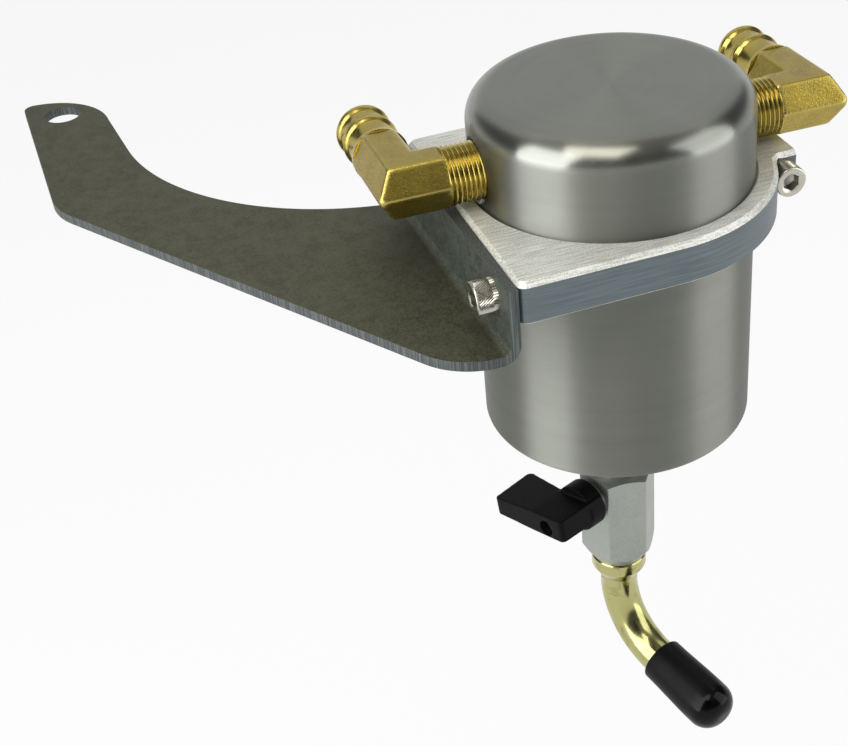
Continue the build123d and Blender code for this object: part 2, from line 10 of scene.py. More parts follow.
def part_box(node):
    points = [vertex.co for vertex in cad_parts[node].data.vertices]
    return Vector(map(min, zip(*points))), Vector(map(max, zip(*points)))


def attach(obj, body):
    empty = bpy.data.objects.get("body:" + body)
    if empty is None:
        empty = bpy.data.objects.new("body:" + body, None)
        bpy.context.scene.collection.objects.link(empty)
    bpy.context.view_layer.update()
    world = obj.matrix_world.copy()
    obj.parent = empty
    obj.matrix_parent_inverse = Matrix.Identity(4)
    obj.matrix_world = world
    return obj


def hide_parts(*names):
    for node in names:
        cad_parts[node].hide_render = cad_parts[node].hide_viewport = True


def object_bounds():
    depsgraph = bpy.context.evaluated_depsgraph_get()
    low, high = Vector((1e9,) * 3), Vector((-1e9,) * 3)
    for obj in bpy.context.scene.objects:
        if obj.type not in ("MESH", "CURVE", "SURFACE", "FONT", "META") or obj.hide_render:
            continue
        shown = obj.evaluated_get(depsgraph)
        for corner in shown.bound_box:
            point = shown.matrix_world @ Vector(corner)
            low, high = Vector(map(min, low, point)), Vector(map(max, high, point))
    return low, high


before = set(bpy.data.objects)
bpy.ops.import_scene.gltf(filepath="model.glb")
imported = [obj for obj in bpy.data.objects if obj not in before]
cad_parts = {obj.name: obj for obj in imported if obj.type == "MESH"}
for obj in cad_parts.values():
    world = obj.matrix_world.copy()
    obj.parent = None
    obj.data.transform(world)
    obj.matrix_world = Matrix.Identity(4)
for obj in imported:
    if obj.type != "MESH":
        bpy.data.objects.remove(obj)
CAD_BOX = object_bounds()

bl_info = {
    "name": "Oil catch can",
    "version": (1, 0, 0),
    "blender": (4, 5, 0),
    "location": "View3D > Sidebar > Catch can",
    "description": "Models and finishes the pieces of an oil catch can round its packed frame",
    "category": "Object",
}

MM = 0.001
NEAR = 1e-6
FULL_TURN = 2 * math.pi
HEX_SIDES = 6
SHADE_ANGLE = math.radians(32)
SHARP_ANGLE = math.radians(40)

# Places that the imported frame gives: the can's axis, the plate's top face and the main sizes
CUP_LOW, CUP_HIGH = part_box("lower_cup")
PLATE_LOW, PLATE_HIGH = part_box("clamp_plate")
CAP_LOW, CAP_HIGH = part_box("upper_housing")
AXIS_X = (CUP_LOW.x + CUP_HIGH.x) / 2
AXIS_Y = (CUP_LOW.y + CUP_HIGH.y) / 2
PLATE_TOP = PLATE_HIGH.z
HOME = Matrix.Translation((AXIS_X, AXIS_Y, PLATE_TOP))
CAN_RADIUS = (CAP_HIGH.x - CAP_LOW.x) / 2 / MM
CAP_HEIGHT = (CAP_HIGH.z - PLATE_TOP) / MM
PLATE_THICKNESS = (PLATE_HIGH.z - PLATE_LOW.z) / MM

# Steps round the can, the valve and its cap, the fittings and the tube, a plain bar and a screw
CAN_STEPS = 256
VALVE_STEPS = 128
FITTING_STEPS = 96
BAR_STEPS = 64
SCREW_STEPS = 48

# Half the flat on a thread's crest, as a share of the pitch
THREAD_CREST = 0.11

# Crest and root of a ridge on the cup's neck, as shares of the way up its pitch
RIDGE_CREST, RIDGE_ROOT = 0.3, 0.7

# Rounds of smoothing that a forging and a moulding get
FORGING_ROUNDS = 44
MOULDING_ROUNDS = 4

# Soft boxes: direction round the can and height angle in degrees, width and height in metres,
# share of the power, colour; they aim at a point below the plate's top, in metres
BOX_AIM = 0.03
SOFT_BOXES = (
    ("left_box", -76, 20, 0.46, 0.84, 1.15, (1.0, 1.0, 1.0)),
    ("right_box", 58, 20, 0.46, 0.84, 0.55, (1.0, 1.0, 1.0)),
    ("overhead_box", -42, 68, 0.36, 0.36, 0.36, (1.0, 0.96, 0.88)),
    ("rear_box", 165, 42, 0.9, 0.7, 0.29, (1.0, 1.0, 1.0)),
)


def length(name, description, millimetres):
    """A length that a user can change, given in millimetres."""
    return FloatProperty(
        name=name, description=description, default=millimetres * MM, unit="LENGTH", precision=6
    )


def turn(name, description, degrees):
    """An angle that a user can change, given in degrees."""
    return FloatProperty(name=name, description=description, default=math.radians(degrees), subtype="ANGLE")


def linear(code):
    """Linear colour of an sRGB hex code such as 'c9c27a'."""
    shares = [int(code[place : place + 2], 16) / 255 for place in (0, 2, 4)]
    return [share / 12.92 if share <= 0.04045 else ((share + 0.055) / 1.055) ** 2.4 for share in shares]


def tint(name, description, code):
    """A colour that a user can change, given as an sRGB hex code."""
    return FloatVectorProperty(
        name=name, description=description, default=linear(code), subtype="COLOR", size=3, min=0, max=1
    )


class CanSizes(bpy.types.PropertyGroup):
    """Sizes of the turned housing and cup"""

    radius: length("Radius", "Outside of the housing and the cup", CAN_RADIUS)
    cap_height: length("Cap height", "Housing's top above the clamp plate", CAP_HEIGHT)
    cap_edge: length("Cap edge", "Radius round the housing's top edge", 8.0)
    cap_roof: length("Cap roof", "Thickness of the housing's top", 6.0)
    port_wall: length("Port wall", "Housing's wall at the ports", 6.3)
    skirt_wall: length("Skirt wall", "Housing's wall round the cup's neck", 3.9)
    shoulder: length("Shoulder", "Ledge over the baffle, below the plate's top", 0.5)
    groove_top: length("Groove top", "Top of the ring groove, below the plate's top", 2.0)
    groove_height: length("Groove height", "Height of the ring groove", 1.35)
    groove_depth: length("Groove depth", "Depth of the ring groove", 1.2)
    cup_depth: length("Cup depth", "Cup's bottom below the clamp plate's top", 82.8)
    cup_edge: length("Cup edge", "Radius round the cup's bottom edge", 3.0)
    cup_wall: length("Cup wall", "Thickness of the cup's wall", 4.0)
    cup_floor: length("Cup floor", "Thickness of the cup's floor", 6.0)
    seam: length("Seam", "Gap between the housing and the cup", 0.3)
    neck_gap: length("Neck gap", "Gap round the cup's neck", 0.3)
    neck_wall: length("Neck wall", "Thickness of the cup's neck", 3.0)
    neck_top: length("Neck top", "Neck's top below the plate's top", 4.0)
    neck_root: length("Neck root", "Depth of the neck's bore below the seam", 3.0)
    neck_taper: length("Neck taper", "Height of the cone under the neck's bore", 3.0)
    seal_low: length("Seal groove bottom", "Seal groove's bottom above the seam", 0.65)
    seal_high: length("Seal groove top", "Seal groove's top above the seam", 3.15)
    seal_depth: length("Seal groove depth", "Depth of the seal groove", 2.2)
    thread_pitch: length("Thread pitch", "Pitch of the neck's thread, the drop of the cup in a turn", 2.117)
    thread_depth: length("Thread depth", "Depth of the neck's thread", 0.6)
    boss_radius: length("Boss radius", "Radius of the drain boss", 12.7)
    boss_height: length("Boss height", "Height of the drain boss under the cup", 10.0)
    boss_bore: length("Boss bore", "Radius of the hole through the drain boss", 6.9)
    edge_break: length("Edge break", "Chamfer on turned edges", 0.35)
    port_turn: turn("Port turn", "Turn of the two ports about the can", -1.87)
    port_height: length("Port height", "Ports' axis above the clamp plate", 9.5)
    port_bore: length("Port bore", "Radius of the port holes", 8.6)
    port_sink: length("Port countersink", "Width of the countersink round a port", 0.5)


class PlateSizes(bpy.types.PropertyGroup):
    """Sizes of the split clamp plate"""

    thickness: length("Thickness", "Thickness of the plate", PLATE_THICKNESS)
    nose: length("Nose radius", "Radius of the rounded side", 47.625)
    back: length("Back", "Flat back from the can's axis", 47.625)
    corner: length("Corner", "Radius of the back corners", 3.0)
    top_chamfer: length("Top chamfer", "Chamfer round the top face", 1.4)
    bottom_chamfer: length("Bottom chamfer", "Chamfer round the bottom face", 0.5)
    bore: length("Bore radius", "Radius of the can's hole", 41.325)
    bore_chamfer: length("Bore chamfer", "Chamfer at the top of the can's hole", 0.8)
    slot: length("Slot", "Width of the slot between the ears", 2.4)
    ear_reach: length("Ear reach", "Ears' end from the can's axis", 52.3)
    ear_half: length("Ear half width", "Half the width of both ears", 14.3)
    ear_fillet: length("Ear fillet", "Radius where the ears leave the nose", 4.0)
    screw_reach: length("Clamp screw reach", "Clamp screw from the can's axis", 47.6)
    screw_hole: length("Screw hole", "Radius of the screw holes", 3.25)
    screw_depth: length("Screw depth", "Depth of the flange screws' holes", 15.875)
    spot_face: length("Spot face", "Radius of the flat cut under the clamp screw's head", 5.4625)


class BracketSizes(bpy.types.PropertyGroup):
    """Sizes of the bent sheet bracket"""

    sheet: length("Sheet", "Thickness of the sheet", 3.175)
    bend: length("Bend", "Inner radius of the bend", 2.5)
    flange_drop: length("Flange drop", "Flange's edge below the plate's top", 1.0)
    arm_drop: length("Arm drop", "Arm's top face below the plate's top", 20.8)
    flange_end: length("Flange end", "End of the flange towards the arm", 46.635)
    screw_spread: length("Screw spread", "Flange screws from the can's axis", 36.5)
    screw_drop: length("Screw drop", "Flange screws below the plate's top", 7.5)
    left: length("Outer edge", "Arm's outer edge from the can's axis", 154.0)
    right: length("Inner edge", "Arm's inner edge from the can's axis", 126.6)
    tip_radius: length("Tip radius", "Radius of the arm's end", 25.4)
    tip_height: length("Tip height", "Centre of the arm's end along the arm", 154.9)
    tip_corner: length("Tip corner", "Radius of the arm's outer end corner", 3.5)
    knee_height: length("Knee height", "Knee along the arm", 94.7)
    knee_radius: length("Knee radius", "Radius of the knee", 26.0)
    heel_offset: length("Heel offset", "Heel's corner from the flange", 18.0)
    heel_radius: length("Heel radius", "Radius of the heel", 22.0)
    throat_inset: length("Throat inset", "Throat's deepest point from the inner edge", 2.0)
    throat_radius: length("Throat radius", "Radius of the throat", 87.5)
    bolt_radius: length("Bolt hole", "Radius of the bolt hole", 6.35)
    bolt_edge: length("Bolt edge", "Bolt hole from the arm's inner edge", 14.8)
    bolt_rise: length("Bolt rise", "Bolt hole beyond the centre of the arm's end", 11.9)
    burr: length("Edge round", "Rounding of the cut edges", 0.28)


class ScrewSizes(bpy.types.PropertyGroup):
    """Sizes of the socket head screws"""

    shank: length("Shank radius", "Radius of the thread", 3.1)
    pitch: length("Pitch", "Pitch of the thread", 1.27)
    head: length("Head radius", "Radius of the head", 4.7625)
    height: length("Head height", "Height of the head", 6.35)
    band: length("Plain band", "Height of the plain band under the knurl", 1.3)
    knurl_end: length("Knurl end", "Top of the knurl above the head's foot", 5.5)
    knurl_depth: length("Knurl depth", "Depth of the knurl", 0.32)
    knurl_rows: IntProperty(name="Knurl rows", description="Rows of knurl points up the head", default=8)
    knurl_points: IntProperty(name="Knurl points", description="Knurl points round the head", default=40)
    rim: length("Rim", "Rounding of the head's top edge", 0.55)
    socket: length("Socket", "Hexagon socket across its flats", 4.76)
    socket_depth: length("Socket depth", "Depth of the socket", 3.2)
    clamp_length: length("Clamp screw", "Length of the clamp screw", 25.4)
    flange_length: length("Flange screws", "Length of the flange screws", 15.875)


class ElbowSizes(bpy.types.PropertyGroup):
    """Sizes of the forged hose elbows"""

    reach: length("Reach", "Elbow's corner from the can's axis", 62.5)
    droop: turn("Tail droop", "Droop of the hose tail", 3.3)
    flats: length("Flats", "Forged body across its flats", 15.9)
    heel: length("Heel", "Radius of the forging's outer corner in plan", 3.2)
    leg: length("Leg", "Length of the forged leg at the thread", 12.7)
    thread: length("Thread radius", "Radius of the pipe thread", 8.55)
    thread_length: length("Thread length", "Length of the pipe thread", 14.3)
    pitch: length("Thread pitch", "Pitch of the pipe thread", 1.41)
    thread_depth: length("Thread depth", "Depth of the pipe thread", 0.65)
    relief: length("Thread relief", "Plain neck beside the forged body", 0.9)
    bore: length("Bore", "Radius of the bore", 5.2)
    shoulder: length("Shoulder", "End of the collar at the tail", 23.7)
    collar: length("Collar", "Length of the collar beside the forged body", 1.0)
    neck: length("Neck", "Radius of the tail", 7.35)
    bead: length("Bead", "Radius of the beads", 8.5)
    bead_start: length("First bead", "First bead from the shoulder", 10.5)
    bead_pitch: length("Bead pitch", "Distance between the beads", 8.4)
    bead_reach: length("Bead reach", "Half the length of a bead", 2.2)
    tail_end: length("Tail end", "Tail's end beyond the last bead", 1.8)
    grain: length("Forging mesh", "Mesh spacing of the forged body", 0.32)


class ValveSizes(bpy.types.PropertyGroup):
    """Sizes of the drain valve's body"""

    turn: turn("Valve turn", "Direction of the valve's stem", -157.6)
    flats: length("Flats", "Body across its flats", 22.225)
    corner_cut: turn("Corner cut", "Slope of the cut at the body's top corners", 30.0)
    top: length("Top", "Hexagon's top below the plate's top", 108.6)
    hex_end: length("Hexagon end", "Start of the taper below the plate's top", 139.5)
    bottom: length("Bottom", "Body's end below the plate's top", 146.0)
    end_radius: length("End radius", "Radius of the body's end", 8.7)
    bore: length("Bore", "Radius of the ball's chamber", 7.0)
    flow: length("Flow", "Radius of the oil's way", 3.6)
    neck: length("Neck", "Radius of the neck", 8.3)
    neck_height: length("Neck height", "Height of the neck", 7.6)
    spigot: length("Spigot", "Radius of the spigot", 6.85)
    spigot_height: length("Spigot height", "Top of the spigot above the hexagon", 22.0)
    ball_height: length("Ball height", "Ball's centre below the plate's top", 116.0)
    chamber_rise: length("Chamber rise", "Chamber's roof above the ball's centre", 6.8)
    boss: length("Stem boss", "Radius of the boss round the stem", 5.2)
    boss_reach: length("Boss reach", "Boss's end from the ball's centre", 17.0)
    stem_hole: length("Stem hole", "Radius of the stem's hole", 2.55)
    edge: length("Edge round", "Rounding of the hexagon's edges", 0.55)


class LeverSizes(bpy.types.PropertyGroup):
    """Sizes of the moulded lever"""

    droop: turn("Droop", "Droop of the closed lever", 10.0)
    face: length("Face", "Front face from the ball's centre", 33.2)
    block_face: length("Block face", "Rear face of the block", 14.2125)
    inner_face: length("Inner face", "Rear face of the bar at its root", 18.5)
    tip_inner_face: length("Tip inner face", "Rear face of the bar at its tip", 15.4)
    reach: length("Length", "Front length of the bar", 24.0)
    rake: length("Tip rake", "Rake of the bar's tip", 1.5)
    heel: length("Heel", "Heel behind the stem", 7.5)
    root: length("Root", "Half length of the block", 6.0)
    root_top: length("Root top", "Height of the block over the stem", 4.6)
    root_bottom: length("Root bottom", "Depth of the block under the stem", 3.2)
    tip_top: length("Tip top", "Height of the tip over the stem", 3.5)
    tip_bottom: length("Tip bottom", "Depth of the tip under the stem", 2.7)
    corner: length("Corner", "Radius of the corners seen from above", 1.6)
    hub: length("Hub", "Radius of the hub", 8.0)
    hub_foot: length("Hub foot", "Hub's foot from the ball's centre", 13.6125)
    hub_height: length("Hub height", "Height of the hub", 6.0)
    boss_hole: length("Boss hole", "Radius of the hole over the stem boss", 5.55)
    boss_hole_end: length("Boss hole end", "End of that hole from the ball's centre", 17.35)
    stem_hole: length("Stem hole", "Radius of the stem's socket", 2.55)
    stem_end: length("Stem end", "End of the stem's socket", 24.05)
    recess: length("Recess", "Radius of the screw's recess", 2.7)
    recess_depth: length("Recess depth", "Depth of the screw's recess", 4.5)
    grain: length("Moulding mesh", "Mesh spacing of the moulding", 0.3)


class TubeSizes(bpy.types.PropertyGroup):
    """Sizes of the drain tube and its cap"""

    turn: turn("Tube turn", "Direction in which the tube bends", -72.1)
    bend: turn("Bend", "Angle of the bend", 80.0)
    bend_radius: length("Bend radius", "Radius of the bend's centre line", 23.5)
    bend_start: length("Bend start", "Start of the bend below the plate's top", 159.0)
    radius: length("Tube radius", "Outside of the tube", 6.3)
    wall: length("Wall", "Thickness of the tube", 1.9)
    spigot: length("Spigot", "Radius of the spigot in the valve", 6.95)
    spigot_top: length("Spigot top", "Spigot's top below the plate's top", 134.05)
    collar: length("Collar", "Radius of the collar", 9.2)
    collar_top: length("Collar top", "Collar's top below the plate's top", 146.05)
    collar_height: length("Collar height", "Height of the collar", 4.6)
    collar_taper: length("Collar taper", "Height of the collar's cone", 4.4)
    run: length("End run", "Straight run after the bend", 26.0)
    cap_start: length("Cap start", "Cap's rim from the bend's end", 1.6)
    cap_length: length("Cap length", "Length of the cap", 30.3)
    cap_rim: length("Cap rim", "Radius of the cap's rim", 7.9)
    cap_end: length("Cap end", "Radius of the cap near its end", 8.5)
    cap_dome: length("Cap dome", "Radius of the cap's end edge", 6.8)
    cap_bore: length("Cap bore", "Radius of the cap's bore", 6.4)
    cap_depth: length("Cap depth", "Depth of the cap's bore", 27.7)
    lip: length("Lip", "Rounding of the cap's rim", 0.5)


class FinishColours(bpy.types.PropertyGroup):
    """Colours of the finishes"""

    aluminium: tint("Turned aluminium", "Housing and cup", "898b84")
    aluminium_dark: tint("Turned aluminium, dull", "Duller turning marks", "7c7e77")
    milled: tint("Milled aluminium", "Clamp plate's faces", "eaebe6")
    milled_grain: tint("Milled aluminium, grain", "Cutter marks on the clamp plate's faces", "b9bab4")
    # The sides' darker, bluer tone is partly their sawn finish and partly a painted reflection
    milled_side: tint("Sawn aluminium", "Clamp plate's sides", "7b878b")
    milled_dark: tint("Sawn aluminium, dark", "Lines along the clamp plate's sides", "454f53")
    sheet: tint("Sheet steel", "Bracket's faces", "5d5e4e")
    sheet_dark: tint("Sheet steel, dark", "Mottling on the bracket", "49493c")
    # Painted reflection: a bluer tone for the flange's faces, standing in for the cool light they reflect
    sheet_flange: tint("Sheet steel, blue", "Bracket's flange", "5d665f")
    sheet_cut: tint("Cut edge", "Bracket's cut edges", "757b79")
    sheet_burnt: tint("Cut edge, dark", "Striations on the cut edges", "4b5051")
    brass: tint("Brass", "Machined brass", "bba95c")
    brass_forged: tint("Forged brass", "Tumbled forging skin", "a5913f")
    brass_rubbed: tint("Rubbed brass", "Bright crowns of the forging skin", "cdbe76")
    brass_dark: tint("Tarnished brass", "Tarnish in the hollows", "6f5f30")
    stainless: tint("Stainless steel", "Screws", "bdbab0")
    # Darkens the knurl's hollows: partly real dirt, partly painted shade
    stainless_grime_and_shade: tint("Stainless steel, grimy", "Grime in the knurl", "4a4741")
    valve: tint("Nickel plate", "Valve's body", "b2b7b0")
    zinc: tint("Yellow zinc", "Drain tube", "b3b078")
    zinc_dark: tint("Yellow zinc, stained", "Stains on the tube", "4f4a25")
    plastic: tint("Handle plastic", "Lever", "060606")
    vinyl: tint("Cap vinyl", "Drain cap", "040405")
    rubber: tint("Seal rubber", "Seal rings", "161616")
    seat: tint("Seat plastic", "Ball seats", "e4e4de")
    bright_steel: tint("Bright steel", "Stem, ball and baffle", "c8c8c4")
    wire: tint("Mesh wire", "Knitted pad", "9a9a94")


class StageSettings(bpy.types.PropertyGroup):
    """Camera, lights and floor"""

    lens: FloatProperty(
        name="Lens", description="Focal length for a sensor 36 mm wide", default=67.837, unit="CAMERA"
    )
    azimuth: turn("Azimuth", "Camera's direction round the can", -15.3215)
    elevation: turn("Elevation", "Camera's height angle", 34.6985)
    roll: turn("Roll", "Camera's turn about its view", -5.914)
    distance: length("Distance", "Camera from its aim", 501.113)
    aim_x: length("Aim X", "Aim from the can's axis", -57.975)
    aim_y: length("Aim Y", "Aim from the can's axis", 15.883)
    aim_z: length("Aim Z", "Aim from the plate's top", -64.666)
    floor_drop: length("Floor drop", "Floor below the part's lowest point", 150.0)
    floor_size: length("Floor size", "Width of the floor", 24000.0)
    box_distance: length("Soft box distance", "Soft boxes from the can", 620.0)
    box_power: FloatProperty(
        name="Soft box power", description="Power of a soft box with a share of 1", default=4.1, unit="POWER"
    )
    floor_white: FloatProperty(
        name="Floor white",
        description="Share of plain white that the floor shows",
        default=0.9,
        subtype="FACTOR",
    )
    floor_colour: tint("Floor", "Pale floor", "f2f2f2")
    sky_colour: tint("Studio ceiling", "Grey studio overhead", "a3a19a")
    wall_colour: tint("Studio wall", "Dim studio above the pale wall", "5a5c5e")
    horizon_colour: tint("Horizon", "Pale wall round the floor", "f2f2f2")
    flag_colour: tint("Dark card", "Card between the soft boxes", "17171a")
    flag_azimuth: turn("Dark card azimuth", "Direction of the dark card round the can", -19.0)
    flag_distance: length("Dark card distance", "Dark card from the can", 700.0)
    flag_foot: length("Dark card foot", "Card's foot above the plate, clear of the pale wall", 205.0)
    flag_width: length("Dark card width", "Width of the dark card", 420.0)
    flag_height: length("Dark card height", "Height of the dark card", 695.0)


class CatchCan(bpy.types.PropertyGroup):
    """All sizes, colours and stage settings of the catch can"""

    can: PointerProperty(name="Can", type=CanSizes)
    plate: PointerProperty(name="Clamp plate", type=PlateSizes)
    bracket: PointerProperty(name="Bracket", type=BracketSizes)
    screw: PointerProperty(name="Screws", type=ScrewSizes)
    elbow: PointerProperty(name="Elbows", type=ElbowSizes)
    valve: PointerProperty(name="Valve", type=ValveSizes)
    lever: PointerProperty(name="Lever", type=LeverSizes)
    tube: PointerProperty(name="Drain tube", type=TubeSizes)
    colours: PointerProperty(name="Colours", type=FinishColours)
    stage: PointerProperty(name="Stage", type=StageSettings)


# Modelling steps


def object_mode():
    """Leaves edit mode."""
    if bpy.context.mode != "OBJECT":
        bpy.ops.object.mode_set(mode="OBJECT")


def select_only(*pieces):
    """Selects these pieces alone and makes the first active."""
    object_mode()
    bpy.ops.object.select_all(action="DESELECT")
    for piece in pieces:
        piece.select_set(True)
    bpy.context.view_layer.objects.active = pieces[0]


def named(name):
    """Names the primitive that was just added and opens it in edit mode."""
    piece = bpy.context.object
    piece.name = piece.data.name = name
    bpy.ops.object.transform_apply(location=True, rotation=True, scale=True)
    bpy.ops.object.mode_set(mode="EDIT")
    bpy.ops.mesh.select_mode(type="VERT")
    bpy.ops.mesh.select_all(action="SELECT")
    return piece


def begin(name):
    """Opens a new empty mesh in edit mode."""
    object_mode()
    bpy.ops.object.select_all(action="DESELECT")
    bpy.ops.mesh.primitive_plane_add(size=MM)
    piece = named(name)
    bpy.ops.mesh.delete(type="VERT")
    return piece


def draw(points):
    """Draws a line through the points, by extruding one vertex from each to the next."""
    bpy.ops.mesh.primitive_plane_add(size=MM, location=points[0])
    bpy.ops.mesh.merge(type="CENTER")
    for here, there in zip(points, points[1:]):
        step = Vector(there) - Vector(here)
        bpy.ops.mesh.extrude_vertices_move(TRANSFORM_OT_translate={"value": step})


def clean():
    """Merges doubled vertices and turns all faces outwards."""
    bpy.ops.mesh.select_all(action="SELECT")
    bpy.ops.mesh.remove_doubles(threshold=NEAR)
    bpy.ops.mesh.normals_make_consistent(inside=False)


def pick(piece, kind, test):
    """Selects in edit mode the vertices, edges or faces whose corner points all pass a test."""
    bpy.ops.mesh.select_mode(type=kind)
    bpy.ops.mesh.select_all(action="DESELECT")
    bpy.ops.object.mode_set(mode="OBJECT")
    mesh = piece.data
    if kind == "VERT":
        for vertex in mesh.vertices:
            vertex.select = test(vertex.co)
    else:
        for item in mesh.edges if kind == "EDGE" else mesh.polygons:
            item.select = all(test(mesh.vertices[index].co) for index in item.vertices)
    bpy.ops.object.mode_set(mode="EDIT")


def arc(centre, radius, start, end, steps):
    """Points on an arc about a centre, from one angle to another in radians."""
    angles = [start + (end - start) * step / steps for step in range(steps + 1)]
    return [(centre[0] + radius * math.cos(a), centre[1] + radius * math.sin(a)) for a in angles]


def corner_arc(before, corner, after, radius, steps):
    """Points that round a corner between two straight runs."""
    corner = Vector(corner)
    back = (Vector(before) - corner).normalized()
    ahead = (Vector(after) - corner).normalized()
    half = back.angle(ahead) / 2
    middle = corner + (back + ahead).normalized() * radius / math.sin(half)
    start = corner + back * radius / math.tan(half) - middle
    swing = math.pi - 2 * half
    if back.cross(ahead) > 0:
        swing = -swing
    first = math.atan2(start.y, start.x)
    return arc(middle, radius, first, first + swing, steps)


def turned(name, outline, segments):
    """Turns (radius, level) points about Z, from the axis back to the axis or round a closed ring."""
    piece = begin(name)
    points = [(radius, 0, level) for radius, level in outline]
    draw(points if outline[0][0] == 0 else points + points[:1])
    bpy.ops.mesh.select_all(action="SELECT")
    bpy.ops.mesh.spin(steps=segments, angle=FULL_TURN, center=(0, 0, 0), axis=(0, 0, 1))
    clean()
    return piece


def prism(name, points, step):
    """Fills an outline of points and extrudes it by a step."""
    piece = begin(name)
    draw(points + points[:1])
    bpy.ops.mesh.select_all(action="SELECT")
    bpy.ops.mesh.remove_doubles(threshold=NEAR)
    bpy.ops.mesh.edge_face_add()
    bpy.ops.mesh.extrude_region_move(TRANSFORM_OT_translate={"value": step})
    clean()
    return piece


def bar(name, radius, start, end, segments=BAR_STEPS):
    """Round or many-sided bar between two points, used to add to or cut a piece."""
    start = Vector(start)
    run = Vector(end) - start
    object_mode()
    bpy.ops.object.select_all(action="DESELECT")
    bpy.ops.mesh.primitive_cylinder_add(
        vertices=segments,
        radius=radius,
        depth=run.length,
        location=start + run / 2,
        rotation=run.to_track_quat("Z", "Y").to_euler(),
    )
    return named(name)


def block(name, low, high):
    """Square block between two corners, used to cut a piece."""
    low, high = Vector(low), Vector(high)
    object_mode()
    bpy.ops.object.select_all(action="DESELECT")
    bpy.ops.mesh.primitive_cube_add(size=1, location=(low + high) / 2, scale=high - low)
    return named(name)


def combine(piece, operation, *tools):
    """Adds solids to a piece (UNION), cuts them away (DIFFERENCE) or keeps what they share (INTERSECT)."""
    object_mode()
    for tool in tools:
        modifier = piece.modifiers.new("combine", "BOOLEAN")
        modifier.operation = operation
        modifier.solver = "EXACT"
        modifier.object = tool
        select_only(piece)
        bpy.ops.object.modifier_apply(modifier=modifier.name)
        bpy.data.objects.remove(tool)
    return piece


def join(piece, *others):
    """Joins other meshes to a piece."""
    select_only(piece, *others)
    bpy.ops.object.join()
    return piece


def lay(piece, matrix):
    """Moves and turns a piece by a matrix, with its place in its mesh."""
    select_only(piece)
    piece.matrix_world = matrix
    bpy.ops.object.transform_apply(location=True, rotation=True, scale=True)
    return piece


def duplicate(piece, name):
    """Copies a piece with a mesh of its own."""
    select_only(piece)
    bpy.ops.object.duplicate()
    copy = bpy.context.object
    copy.name = copy.data.name = name
    return copy


def soften(piece, spacing, rounds):
    """Gives a cut solid an even mesh and soft edges, as a forging or a moulding has."""
    select_only(piece)
    remesh = piece.modifiers.new("even mesh", "REMESH")
    remesh.mode = "VOXEL"
    remesh.voxel_size = spacing
    bpy.ops.object.modifier_apply(modifier=remesh.name)
    smooth = piece.modifiers.new("soft edges", "SMOOTH")
    smooth.iterations = rounds
    bpy.ops.object.modifier_apply(modifier=smooth.name)
    return piece


def round_edges(piece, width, segments, limit):
    """Rounds every edge sharper than a limit."""
    select_only(piece)
    bevel = piece.modifiers.new("round edges", "BEVEL")
    bevel.width = width
    bevel.segments = segments
    bevel.limit_method = "ANGLE"
    bevel.angle_limit = limit
    bpy.ops.object.modifier_apply(modifier=bevel.name)
    return piece


def threaded_bar(name, radius, depth, pitch, low, high, segments):
    """Right-hand thread about Z that reaches past both levels; a turned blank is cut from it."""
    spare = 2 * pitch
    crest = THREAD_CREST * pitch
    piece = begin(name)
    foot = low - spare
    middle = foot + pitch / 2
    root = radius - depth
    ridge = [(root, foot), (radius, middle - crest), (radius, middle + crest), (root, foot + pitch)]
    draw([(out, 0, level) for out, level in ridge])
    object_mode()
    screw = piece.modifiers.new("thread", "SCREW")
    screw.screw_offset = pitch
    screw.iterations = math.ceil((high - low + 2 * spare) / pitch)
    screw.steps = screw.render_steps = segments
    bpy.ops.object.modifier_apply(modifier=screw.name)
    bpy.ops.object.mode_set(mode="EDIT")
    bpy.ops.mesh.select_all(action="SELECT")
    bpy.ops.mesh.remove_doubles(threshold=NEAR)
    bpy.ops.mesh.fill_holes(sides=0)
    clean()
    return piece


def dress(piece, material, body, slot, *nodes):
    """Shades a finished piece, gives it its material, ties it to its body and hides the nodes it stands for.
    """
    select_only(piece)
    bpy.ops.object.shade_smooth_by_angle(angle=SHADE_ANGLE)
    piece.data.materials.clear()
    piece.data.materials.append(material)
    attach(piece, body)
    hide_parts(*nodes)


def even_normals(piece):
    """Lets large faces set the shading of the small rounds beside them."""
    select_only(piece)
    weighted = piece.modifiers.new("even shading", "WEIGHTED_NORMAL")
    weighted.keep_sharp = True
    bpy.ops.object.modifier_apply(modifier=weighted.name)


# Places


def stem_matrix(valve, lever):
    """Frame of the valve's stem: X along the closed lever, Z out along the stem, from the ball's centre."""
    stem = Vector((math.cos(valve.turn), math.sin(valve.turn), 0))
    level = Vector((math.sin(valve.turn), -math.cos(valve.turn), 0))
    along = level * math.cos(lever.droop) - Vector((0, 0, 1)) * math.sin(lever.droop)
    across = stem.cross(along)
    turned_to = Matrix((along, across, stem)).transposed().to_4x4()
    return Matrix.Translation((0, 0, -valve.ball_height)) @ turned_to


def tube_places(tube):
    """Axis of the tube's bend, its centre, its end and the direction of the run after it."""
    heading = Vector((math.cos(tube.turn), math.sin(tube.turn), 0))
    up = Vector((0, 0, 1))
    centre = heading * tube.bend_radius - up * tube.bend_start
    end = centre - (heading * math.cos(tube.bend) + up * math.sin(tube.bend)) * tube.bend_radius
    direction = heading * math.sin(tube.bend) - up * math.cos(tube.bend)
    return up.cross(heading), centre, end, direction


def direction_to(azimuth, elevation):
    """Unit vector towards an azimuth (0 is -Y, a quarter turn is +X) and an elevation."""
    level = math.cos(elevation)
    return Vector((math.sin(azimuth) * level, -math.cos(azimuth) * level, math.sin(elevation)))


# Materials

COORDINATES = "ShaderNodeTexCoord"
GEOMETRY = "ShaderNodeNewGeometry"
NOISE = "ShaderNodeTexNoise"
MAPPING = "ShaderNodeMapping"
MATH = "ShaderNodeMath"
VECTOR = "ShaderNodeVectorMath"
PARTS = "ShaderNodeSeparateXYZ"
RANGE = "ShaderNodeMapRange"
MIX = "ShaderNodeMix"
BUMP = "ShaderNodeBump"

